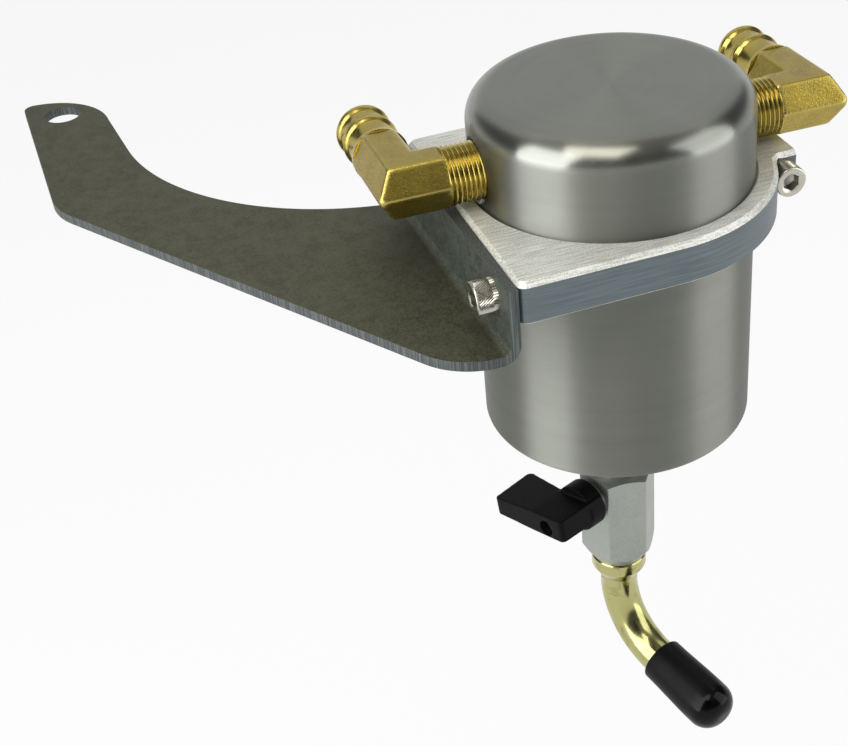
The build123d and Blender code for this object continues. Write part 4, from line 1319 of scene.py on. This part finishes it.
class CATCHCAN_OT_screws(bpy.types.Operator):
    """Makes the knurled socket head screws of the clamp and the bracket"""

    bl_idname = "catchcan.screws"
    bl_label = "Screws"

    def execute(self, context):
        sizes = context.scene.catch_can.screw
        plate = context.scene.catch_can.plate
        bracket = context.scene.catch_can.bracket
        finish = stainless_steel(context.scene.catch_can.colours)
        clamp_seat = Matrix.Translation((plate.screw_reach, -plate.ear_half, -plate.thickness / 2))
        clamp = self.cap_screw(sizes, "clamp_screw_knurled", sizes.clamp_length)
        lay(clamp, HOME @ clamp_seat @ Matrix.Rotation(math.pi / 2, 4, "X"))
        dress(clamp, finish, "housing", "screw_steel", "clamp_screw")
        first = self.cap_screw(sizes, "bracket_screws_knurled", sizes.flange_length)
        second = duplicate(first, "second_screw")
        face = -plate.back - bracket.sheet
        for screw, y in ((first, -bracket.screw_spread), (second, bracket.screw_spread)):
            seat = Matrix.Translation((face, y, -bracket.screw_drop))
            lay(screw, HOME @ seat @ Matrix.Rotation(-math.pi / 2, 4, "Y"))
        join(first, second)
        dress(first, finish, "housing", "screw_steel", "bracket_screws")
        return {"FINISHED"}

    def cap_screw(self, sizes, name, shank_length):
        """Screw about Z, with its head's underside at zero and its shank below."""
        head = self.head(sizes, name + "_head")
        chamfer = sizes.pitch / 2
        blank = [
            (0, 0),
            (sizes.shank, 0),
            (sizes.shank, chamfer - shank_length),
            (sizes.shank - chamfer, -shank_length),
            (0, -shank_length),
        ]
        shank = turned(name, blank, SCREW_STEPS)
        depth = 0.6 * sizes.pitch
        thread = threaded_bar("thread", sizes.shank, depth, sizes.pitch, -shank_length, 0, SCREW_STEPS)
        combine(shank, "INTERSECT", thread)
        return join(shank, head)

    def head(self, sizes, name):
        """Head with a plain band, diamond knurling, a rounded rim and a hexagon socket."""
        around = 2 * sizes.knurl_points
        object_mode()
        bpy.ops.object.select_all(action="DESELECT")
        bpy.ops.mesh.primitive_circle_add(vertices=around, radius=sizes.head, fill_type="NGON")
        piece = named(name)
        row = (sizes.knurl_end - sizes.band) / sizes.knurl_rows
        levels = [sizes.band + row * index for index in range(sizes.knurl_rows + 1)] + [sizes.height]
        bpy.ops.mesh.select_all(action="SELECT")
        for below, level in zip([0, *levels], levels):
            bpy.ops.mesh.extrude_region_move(TRANSFORM_OT_translate={"value": (0, 0, level - below)})
        clean()
        step = FULL_TURN / around

        def low_point(point):
            """True for every second point of the knurl, staggered from row to row."""
            index = round((point.z - sizes.band) / row)
            place = round(math.atan2(point.y, point.x) / step)
            inside = sizes.band - NEAR < point.z < sizes.knurl_end + NEAR
            return inside and (place + index) % 2 == 0

        pick(piece, "VERT", low_point)
        shrink = 1 - sizes.knurl_depth / sizes.head
        bpy.ops.transform.resize(value=(shrink, shrink, 1), center_override=(0, 0, 0))
        pick(piece, "EDGE", lambda point: abs(point.z - sizes.height) < NEAR)
        bpy.ops.mesh.bevel(offset=sizes.rim, segments=4, affect="EDGES")
        socket_foot = sizes.height - sizes.socket_depth
        corner = sizes.socket / math.sqrt(3)
        socket = bar("socket", corner, (0, 0, socket_foot), (0, 0, 2 * sizes.height), HEX_SIDES)
        pick(socket, "VERT", lambda point: abs(point.z - socket_foot) < NEAR)
        bpy.ops.mesh.extrude_region_move(TRANSFORM_OT_translate={"value": (0, 0, -corner / 3)})
        bpy.ops.transform.resize(value=(0.3, 0.3, 1), center_override=(0, 0, 0))
        wide = corner + sizes.rim
        cone = [(0, sizes.height - wide / 2), (wide, sizes.height), (0, sizes.height + wide / 2)]
        mouth = turned("mouth", cone, SCREW_STEPS)
        return combine(piece, "DIFFERENCE", socket, mouth)


class CATCHCAN_OT_elbows(bpy.types.Operator):
    """Forges one hose elbow, threads its leg, turns its beaded tail and copies it to both ports"""

    bl_idname = "catchcan.elbows"
    bl_label = "Hose elbows"

    def execute(self, context):
        sizes = context.scene.catch_can.elbow
        can = context.scene.catch_can.can
        colours = context.scene.catch_can.colours
        skin = forged_brass(colours)
        cut = machined_brass(colours)
        parts = {
            "forging": (self.forging(sizes), skin),
            "thread": (self.thread(sizes), cut),
            "tail": (self.tail(sizes), cut),
        }
        port = Matrix.Translation((0, 0, can.port_height)) @ Matrix.Rotation(can.port_turn, 4, "Z")
        droop = Matrix.Rotation(-sizes.droop, 4, "X")
        turned_over = Matrix.Rotation(math.pi, 4, "Y")
        places = {
            "inlet_elbow": port @ Matrix.Translation((-sizes.reach, 0, 0)) @ droop,
            "outlet_elbow": port @ Matrix.Translation((sizes.reach, 0, 0)) @ droop @ turned_over,
        }
        for node, place in places.items():
            for part, (model, finish) in parts.items():
                piece = lay(duplicate(model, f"{node}_{part}"), HOME @ place)
                dress(piece, finish, "housing", "brass", node)
        for model, _ in parts.values():
            bpy.data.objects.remove(model)
        return {"FINISHED"}

    def forging(self, sizes):
        """Hexagon bar mitred round the corner, with a rounded heel, both bores and soft edges."""
        corner = sizes.flats / math.sqrt(3)
        end = sizes.shoulder - sizes.collar
        leg = bar("forging", corner, (-2 * corner, 0, 0), (sizes.leg, 0, 0), HEX_SIDES)
        self.level_flats(leg)
        bpy.ops.mesh.bisect(plane_co=(0, 0, 0), plane_no=(1, -1, 0), clear_inner=True)
        other = bar("other_leg", corner, (-2 * corner, 0, 0), (end, 0, 0), HEX_SIDES)
        self.level_flats(other)
        bpy.ops.mesh.bisect(plane_co=(0, 0, 0), plane_no=(1, 1, 0), clear_inner=True)
        lay(other, Matrix.Rotation(math.pi / 2, 4, "Z"))
        join(leg, other)
        bpy.ops.object.mode_set(mode="EDIT")
        clean()
        side = -corner
        plan = [(0, 0), (side, 0), *corner_arc((side, 0), (side, side), (0, side), sizes.heel, 8), (0, side)]
        kept = prism("kept", [(x, y, -2 * corner) for x, y in plan], (0, 0, 4 * corner))
        heel = block("heel", (3 * side, 3 * side, side), (0, 0, corner))
        combine(heel, "DIFFERENCE", kept)
        combine(leg, "DIFFERENCE", heel)
        long = 2 * end
        bores = [bar("bore", sizes.bore, (0, 0, 0), mouth) for mouth in ((long, 0, 0), (0, long, 0))]
        combine(leg, "DIFFERENCE", *bores)
        return soften(leg, sizes.grain, FORGING_ROUNDS)

    def level_flats(self, leg):
        """Turns a hexagon leg about X so that two of its flats are level."""
        bpy.ops.mesh.select_all(action="SELECT")
        highest = max(vertex.co.z for vertex in leg.data.vertices)
        widest = max(vertex.co.y for vertex in leg.data.vertices)
        if highest > widest:
            bpy.ops.object.mode_set(mode="OBJECT")
            lay(leg, Matrix.Rotation(math.pi / HEX_SIDES, 4, "X"))
            bpy.ops.object.mode_set(mode="EDIT")
            bpy.ops.mesh.select_all(action="SELECT")

    def thread(self, sizes):
        """Pipe thread on the leg along X, with a plain relief at the forging and a chamfered end."""
        root = sizes.thread - sizes.thread_depth
        low = sizes.leg - sizes.relief
        high = sizes.leg + sizes.thread_length
        lead = 1.2 * sizes.thread_depth
        blank = [
            (sizes.bore, low),
            (sizes.thread, low),
            (sizes.thread, high - lead),
            (root, high),
            (sizes.bore, high),
        ]
        piece = turned("thread", blank, FITTING_STEPS)
        cutter = threaded_bar(
            "cutter", sizes.thread, sizes.thread_depth, sizes.pitch, low, high, FITTING_STEPS
        )
        combine(piece, "INTERSECT", cutter)
        return lay(piece, Matrix.Rotation(math.pi / 2, 4, "Y"))

    def tail(self, sizes):
        """Turned hose tail along Y: a collar at the forging, two rounded beads and an open end."""
        beads = [sizes.shoulder + sizes.bead_start + sizes.bead_pitch * index for index in range(2)]
        end = beads[-1] + sizes.tail_end
        rise = sizes.bead - sizes.neck
        lip = 0.5 * MM
        start = sizes.shoulder - sizes.collar - lip / 2
        ring = arc((sizes.bead - lip, sizes.shoulder), lip, 0, math.pi / 2, 5)
        outline = [(sizes.bore, start), (sizes.bead, start), *ring, (sizes.neck, sizes.shoulder + 3 * lip)]
        for bead in beads:
            for step in range(-6, 7):
                place = bead + sizes.bead_reach * step / 6
                if place < end - lip:
                    swell = math.cos(math.pi / 2 * step / 6) ** 1.4
                    outline.append((sizes.neck + rise * swell, place))
        edge = outline[-1][0]
        outline += arc((edge - lip, end - lip), lip, 0, math.pi / 2, 4)
        outline.append((sizes.bore, end))
        piece = turned("tail", outline, FITTING_STEPS)
        return lay(piece, Matrix.Rotation(-math.pi / 2, 4, "X"))


class CATCHCAN_OT_valve_body(bpy.types.Operator):
    """Cuts the drain valve's body from hexagon bar and adds its neck, spigot and stem boss"""

    bl_idname = "catchcan.valve_body"
    bl_label = "Valve body"

    def execute(self, context):
        sizes = context.scene.catch_can.valve
        corner = sizes.flats / math.sqrt(3)
        drop = (corner - sizes.flats / 2) * math.tan(sizes.corner_cut)
        neck_top = sizes.neck_height - sizes.top
        spigot_top = sizes.spigot_height - sizes.top
        chamber_top = sizes.chamber_rise - sizes.ball_height
        piece = bar("valve_body_plated", corner, (0, 0, -sizes.bottom), (0, 0, -sizes.top), HEX_SIDES)
        self.pick_upright(piece)
        bpy.ops.mesh.bevel(offset=sizes.edge, segments=3, affect="EDGES")
        square_on = Matrix.Rotation(math.pi / 2 + math.pi / HEX_SIDES, 4, "Z")
        lay(piece, Matrix.Rotation(sizes.turn, 4, "Z") @ square_on)
        envelope = turned(
            "envelope",
            [
                (0, -sizes.top),
                (sizes.flats / 2, -sizes.top),
                (corner, -sizes.top - drop),
                (corner, -sizes.hex_end),
                (sizes.end_radius, -sizes.bottom),
                (0, -sizes.bottom),
            ],
            VALVE_STEPS,
        )
        combine(piece, "INTERSECT", envelope)
        neck = bar("neck", sizes.neck, (0, 0, -sizes.top - drop), (0, 0, neck_top))
        spigot = bar("spigot", sizes.spigot, (0, 0, neck_top - drop), (0, 0, spigot_top))
        stem = stem_matrix(sizes, context.scene.catch_can.lever)
        boss = lay(bar("boss", sizes.boss, (0, 0, sizes.bore), (0, 0, sizes.boss_reach)), stem)
        combine(piece, "UNION", neck, spigot, boss)
        chamber = bar("chamber", sizes.bore, (0, 0, -2 * sizes.bottom), (0, 0, chamber_top))
        flow = bar("flow", sizes.flow, (0, 0, -sizes.bottom), (0, 0, 0), SCREW_STEPS)
        hole = bar("stem_hole", sizes.stem_hole, (0, 0, 0), (0, 0, 2 * sizes.boss_reach), SCREW_STEPS)
        lay(hole, stem)
        combine(piece, "DIFFERENCE", chamber, flow, hole)
        lay(piece, HOME)
        colours = context.scene.catch_can.colours
        dress(piece, nickel_plate(colours), "cup", "valve_metal", "valve_body")
        even_normals(piece)
        return {"FINISHED"}

    def pick_upright(self, piece):
        """Selects the hexagon's upright edges."""
        bpy.ops.mesh.select_mode(type="EDGE")
        bpy.ops.mesh.select_all(action="DESELECT")
        bpy.ops.object.mode_set(mode="OBJECT")
        vertices = piece.data.vertices
        for edge in piece.data.edges:
            run = vertices[edge.vertices[0]].co - vertices[edge.vertices[1]].co
            edge.select = abs(run.z) > run.length / 2
        bpy.ops.object.mode_set(mode="EDIT")


class CATCHCAN_OT_lever(bpy.types.Operator):
    """Moulds the lever: a tapered bar, a hub over the stem boss and a recess for its screw"""

    bl_idname = "catchcan.lever"
    bl_label = "Lever"

    def execute(self, context):
        sizes = context.scene.catch_can.lever
        valve = context.scene.catch_can.valve
        tip = sizes.reach + sizes.rake
        high = sizes.root_top + sizes.root_bottom
        front_tip = (sizes.reach, sizes.face)
        front_heel = (-sizes.heel, sizes.face)
        rear_tip = (tip, sizes.tip_inner_face)
        rear_heel = (-sizes.heel, sizes.block_face)
        root = (sizes.root, sizes.inner_face)
        plan = [
            rear_heel,
            (sizes.root, sizes.block_face),
            root,
            *corner_arc(root, rear_tip, front_tip, sizes.corner, 5),
            *corner_arc(rear_tip, front_tip, front_heel, sizes.corner, 5),
            *corner_arc(front_tip, front_heel, rear_heel, sizes.corner, 5),
        ]
        side = [
            (-sizes.heel, sizes.root_bottom),
            (sizes.root, sizes.root_bottom),
            (tip, sizes.tip_bottom),
            (tip, -sizes.tip_top),
            (sizes.root, -sizes.root_top),
            (-sizes.heel, -sizes.root_top),
        ]
        piece = prism("valve_handle_moulded", [(x, -high, z) for x, z in plan], (0, 2 * high, 0))
        combine(piece, "INTERSECT", prism("side", [(x, y, 0) for x, y in side], (0, 0, 2 * sizes.face)))
        hub = bar("hub", sizes.hub, (0, 0, sizes.hub_foot), (0, 0, sizes.hub_foot + sizes.hub_height))
        combine(piece, "UNION", hub)
        floor = sizes.face - sizes.recess_depth
        cuts = [
            bar("boss_hole", sizes.boss_hole, (0, 0, 0), (0, 0, sizes.boss_hole_end)),
            bar("stem_hole", sizes.stem_hole, (0, 0, 0), (0, 0, sizes.stem_end)),
            bar("screw_hole", sizes.stem_hole * 0.65, (0, 0, 0), (0, 0, sizes.face)),
            bar("recess", sizes.recess, (0, 0, floor), (0, 0, 2 * sizes.face)),
        ]
        combine(piece, "DIFFERENCE", *cuts)
        soften(piece, sizes.grain, MOULDING_ROUNDS)
        lay(piece, HOME @ stem_matrix(valve, sizes))
        colours = context.scene.catch_can.colours
        dress(piece, glass_nylon(colours), "lever", "handle_plastic", "valve_handle")
        return {"FINISHED"}


class CATCHCAN_OT_drain_tube(bpy.types.Operator):
    """Bends the drain tube, with its spigot and tapered collar"""

    bl_idname = "catchcan.drain_tube"
    bl_label = "Drain tube"

    def execute(self, context):
        sizes = context.scene.catch_can.tube
        lip = 0.4 * MM
        bore = sizes.radius - sizes.wall
        collar_foot = sizes.collar_top + sizes.collar_height
        rings = [
            (bore, sizes.spigot_top),
            (sizes.spigot, sizes.spigot_top),
            (sizes.spigot, sizes.collar_top),
            (sizes.collar - lip, sizes.collar_top),
            (sizes.collar, sizes.collar_top + lip),
            (sizes.collar, collar_foot - lip),
            (sizes.collar - lip / 2, collar_foot + lip / 2),
            (sizes.radius + lip, collar_foot + sizes.collar_taper - lip),
            (sizes.radius, collar_foot + sizes.collar_taper + lip),
            (sizes.radius, sizes.bend_start),
        ]
        normal, centre, end, direction = tube_places(sizes)
        run = direction * sizes.run
        mouth = (0, 0, -sizes.spigot_top)
        piece = begin("drain_tube_bent")
        bpy.ops.mesh.primitive_circle_add(vertices=FITTING_STEPS, radius=bore, location=mouth)
        for (radius, depth), (next_radius, next_depth) in zip(rings, rings[1:]):
            self.ring((0, 0, depth - next_depth), next_radius / radius, (0, 0, -next_depth))
        bpy.ops.mesh.spin(steps=40, angle=sizes.bend, center=centre, axis=normal)
        self.ring(run, 1, end + run)
        self.ring((0, 0, 0), bore / sizes.radius, end + run)
        self.ring(-run, 1, end)
        bpy.ops.mesh.spin(steps=40, angle=-sizes.bend, center=centre, axis=normal)
        self.ring((0, 0, sizes.bend_start - sizes.spigot_top), 1, mouth)
        clean()
        lay(piece, HOME)
        colours = context.scene.catch_can.colours
        dress(piece, yellow_zinc(colours), "cup", "tube_zinc", "drain_tube")
        return {"FINISHED"}

    def ring(self, move, scale, middle):
        """Draws the tube's wall on to its next ring: moved on, then scaled about its middle."""
        bpy.ops.mesh.extrude_edges_move(TRANSFORM_OT_translate={"value": move})
        bpy.ops.transform.resize(value=(scale, scale, scale), center_override=middle)


class CATCHCAN_OT_drain_cap(bpy.types.Operator):
    """Turns the push-on drain cap with its flare, dome and rolled rim"""

    bl_idname = "catchcan.drain_cap"
    bl_label = "Drain cap"

    def execute(self, context):
        sizes = context.scene.catch_can.tube
        lip = sizes.lip
        dome = sizes.cap_dome
        widening = sizes.cap_end - sizes.cap_rim
        flare = sizes.cap_length - sizes.cap_end - lip
        outline = [
            (0, sizes.cap_depth),
            (sizes.cap_bore - lip, sizes.cap_depth),
            (sizes.cap_bore, sizes.cap_depth - lip),
            (sizes.cap_bore, lip / 2),
            *arc((sizes.cap_rim - lip, lip), lip, -math.pi * 0.75, 0, 6),
            *[
                (sizes.cap_rim + widening * (share**2 * (3 - 2 * share)), lip + flare * share)
                for share in (0.25, 0.5, 0.75, 1.0)
            ],
            *arc((sizes.cap_end - dome, sizes.cap_length - dome), dome, 0, math.pi / 2, 18),
            (0, sizes.cap_length),
        ]
        piece = turned("drain_cap_dipped", outline, VALVE_STEPS)
        _, _, end, direction = tube_places(sizes)
        rim = end + direction * sizes.cap_start
        pointed = direction.to_track_quat("Z", "Y").to_matrix().to_4x4()
        lay(piece, HOME @ Matrix.Translation(rim) @ pointed)
        tip = HOME @ (rim + direction * sizes.cap_length)
        finish = dipped_vinyl(context.scene.catch_can.colours, tip, direction, dome)
        dress(piece, finish, "cap", "cap_vinyl", "drain_cap")
        return {"FINISHED"}


class CATCHCAN_OT_inner_pieces(bpy.types.Operator):
    """Gives the pieces inside the can and the valve their finishes"""

    bl_idname = "catchcan.inner_pieces"
    bl_label = "Inner pieces"

    def execute(self, context):
        colours = context.scene.catch_can.colours
        steel = ground_steel(colours)
        rubber = nitrile_rubber(colours)
        seat = seat_ptfe(colours)
        finishes = {
            "separator_baffle": steel,
            "baffle_ring": steel,
            "mesh_pad": knitted_wire(colours),
            "body_seal": rubber,
            "stem_seal": rubber,
            "upper_seat": seat,
            "lower_seat": seat,
            "seat_retainer": nickel_plate(colours),
            "valve_ball": steel,
            "valve_stem": steel,
            "handle_screw": steel,
        }
        for name, finish in finishes.items():
            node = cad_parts[name]
            node.data.materials.clear()
            node.data.materials.append(finish)
        return {"FINISHED"}


class CATCHCAN_OT_stage(bpy.types.Operator):
    """Sets up the floor, the soft boxes, the studio and the camera"""

    bl_idname = "catchcan.stage"
    bl_label = "Stage"

    def execute(self, context):
        sizes = context.scene.catch_can.stage
        context.scene.view_settings.view_transform = "Standard"
        self.floor(sizes)
        self.soft_boxes(sizes)
        self.dark_card(sizes)
        self.studio(context, sizes)
        self.camera(context, sizes)
        return {"FINISHED"}

    def floor(self, sizes):
        """Pale floor below the part, white to the camera and in reflections, with the part's shadow on it."""
        object_mode()
        bpy.ops.object.select_all(action="DESELECT")
        level = CAD_BOX[0].z - sizes.floor_drop
        bpy.ops.mesh.primitive_plane_add(size=sizes.floor_size, location=(AXIS_X, AXIS_Y, level))
        floor = named("floor")
        object_mode()
        material, tree, shader = new_material("pale_floor")
        shader.inputs["Base Color"].default_value = rgba(sizes.floor_colour)
        shader.inputs["Roughness"].default_value = 0.9
        shader.inputs["Specular IOR Level"].default_value = 0.0
        rays = add(tree, "ShaderNodeLightPath").node.outputs
        seen = add(tree, MATH, {0: rays["Is Camera Ray"], 1: rays["Is Glossy Ray"]}, operation="MAXIMUM")
        seen = add(tree, MATH, {0: seen, 1: rays["Is Transmission Ray"]}, operation="MAXIMUM")
        white = add(tree, MATH, {0: seen, 1: sizes.floor_white}, operation="MULTIPLY")
        glow = add(tree, "ShaderNodeEmission", {"Color": (1, 1, 1, 1), "Strength": 1.0})
        lit = add(tree, "ShaderNodeMixShader", {0: white, 1: shader.outputs[0], 2: glow})
        clear = add(tree, "ShaderNodeBsdfTransparent")
        below = add(tree, GEOMETRY, output="Backfacing")
        surface = add(tree, "ShaderNodeMixShader", {0: below, 1: lit, 2: clear})
        fill(tree, tree.nodes["Material Output"], {"Surface": surface})
        floor.data.materials.append(material)

    def soft_boxes(self, sizes):
        """Tall soft boxes left and right of the camera, a warm one overhead and a broad dim one behind."""
        target = Vector((AXIS_X, AXIS_Y, PLATE_TOP - BOX_AIM))
        for name, azimuth, elevation, width, height, share, colour in SOFT_BOXES:
            lamp = bpy.data.lights.new(name, "AREA")
            lamp.shape = "RECTANGLE"
            lamp.size = width
            lamp.size_y = height
            lamp.energy = sizes.box_power * share
            lamp.color = colour
            holder = bpy.data.objects.new(name, lamp)
            bpy.context.scene.collection.objects.link(holder)
            away = direction_to(math.radians(azimuth), math.radians(elevation))
            holder.location = target + away * sizes.box_distance
            holder.rotation_euler = away.to_track_quat("Z", "Y").to_euler()

    def dark_card(self, sizes):
        """Dark card between the soft boxes, above the pale wall, that parts their reflections on the cap."""
        ahead = direction_to(sizes.flag_azimuth, 0)
        side = ahead.cross(Vector((0, 0, 1))) * sizes.flag_width / 2
        foot = Vector((AXIS_X, AXIS_Y, PLATE_TOP + sizes.flag_foot)) + ahead * sizes.flag_distance
        top = foot + Vector((0, 0, sizes.flag_height))
        card = prism("dark_card", [foot - side, foot + side, top + side, top - side], ahead * 5 * MM)
        object_mode()
        material, _, shader = new_material("dark_card")
        shader.inputs["Base Color"].default_value = rgba(sizes.flag_colour)
        shader.inputs["Roughness"].default_value = 0.8
        card.data.materials.append(material)
        card.visible_camera = False
        card.visible_shadow = False

    def studio(self, context, sizes):
        """Studio with a pale wall at the floor's edge, dim above and paler overhead, alike to every ray."""
        world = bpy.data.worlds.new("studio")
        world.use_nodes = True
        context.scene.world = world
        tree = world.node_tree
        way = add(tree, COORDINATES, output="Generated")
        rise = add(tree, PARTS, {0: way}, "Z")
        ramp = add(tree, "ShaderNodeValToRGB", {0: rise}).node
        stops = ramp.color_ramp.elements
        stops[0].position = 0.1
        stops[0].color = rgba(sizes.horizon_colour)
        stops[1].position = 0.95
        stops[1].color = rgba(sizes.sky_colour)
        for position in (0.22, 0.55):
            stops.new(position).color = rgba(sizes.wall_colour)
        fill(tree, tree.nodes["Background"], {"Color": ramp.outputs[0]})

    def camera(self, context, sizes):
        """Camera at the photograph's angle, for an image of 848 by 746."""
        lens = bpy.data.cameras.new("camera")
        lens.lens = sizes.lens
        lens.sensor_width = 36.0
        lens.clip_start = 0.01
        lens.clip_end = 100.0
        holder = bpy.data.objects.new("camera", lens)
        context.scene.collection.objects.link(holder)
        aim = HOME @ Vector((sizes.aim_x, sizes.aim_y, sizes.aim_z))
        away = direction_to(sizes.azimuth, sizes.elevation)
        pitch = Matrix.Rotation(math.pi / 2 - sizes.elevation, 4, "X")
        heading = Matrix.Rotation(sizes.azimuth, 4, "Z")
        roll = Matrix.Rotation(sizes.roll, 4, "Z")
        holder.matrix_world = Matrix.Translation(aim + away * sizes.distance) @ heading @ pitch @ roll
        context.scene.camera = holder


class CATCHCAN_PT_panel(bpy.types.Panel):
    """Lists the catch can's pieces and sizes"""

    bl_idname = "CATCHCAN_PT_panel"
    bl_label = "Oil catch can"
    bl_space_type = "VIEW_3D"
    bl_region_type = "UI"
    bl_category = "Catch can"

    def draw(self, context):
        for operator in OPERATORS:
            self.layout.operator(operator.bl_idname)
        catch_can = context.scene.catch_can
        for group in catch_can.bl_rna.properties:
            if group.type == "POINTER" and group.identifier != "rna_type":
                box = self.layout.box()
                box.label(text=group.name)
                sizes = getattr(catch_can, group.identifier)
                for size in sizes.bl_rna.properties:
                    if not size.is_readonly:
                        box.prop(sizes, size.identifier)


GROUPS = (
    CanSizes,
    PlateSizes,
    BracketSizes,
    ScrewSizes,
    ElbowSizes,
    ValveSizes,
    LeverSizes,
    TubeSizes,
    FinishColours,
    StageSettings,
    CatchCan,
)

OPERATORS = (
    CATCHCAN_OT_upper_housing,
    CATCHCAN_OT_lower_cup,
    CATCHCAN_OT_clamp_plate,
    CATCHCAN_OT_mounting_bracket,
    CATCHCAN_OT_screws,
    CATCHCAN_OT_elbows,
    CATCHCAN_OT_valve_body,
    CATCHCAN_OT_lever,
    CATCHCAN_OT_drain_tube,
    CATCHCAN_OT_drain_cap,
    CATCHCAN_OT_inner_pieces,
    CATCHCAN_OT_stage,
)


def register():
    """Registers the classes and hangs the sizes on the scene."""
    for kind in (*GROUPS, *OPERATORS, CATCHCAN_PT_panel):
        bpy.utils.register_class(kind)
    bpy.types.Scene.catch_can = PointerProperty(name="Catch can", type=CatchCan)


def unregister():
    """Takes the classes and the sizes away again."""
    del bpy.types.Scene.catch_can
    for kind in reversed((*GROUPS, *OPERATORS, CATCHCAN_PT_panel)):
        bpy.utils.unregister_class(kind)


def main():
    """Builds every piece and the stage."""
    register()
    for operator in OPERATORS:
        group, name = operator.bl_idname.split(".")
        getattr(getattr(bpy.ops, group), name)()


if __name__ == "__main__":
    main()
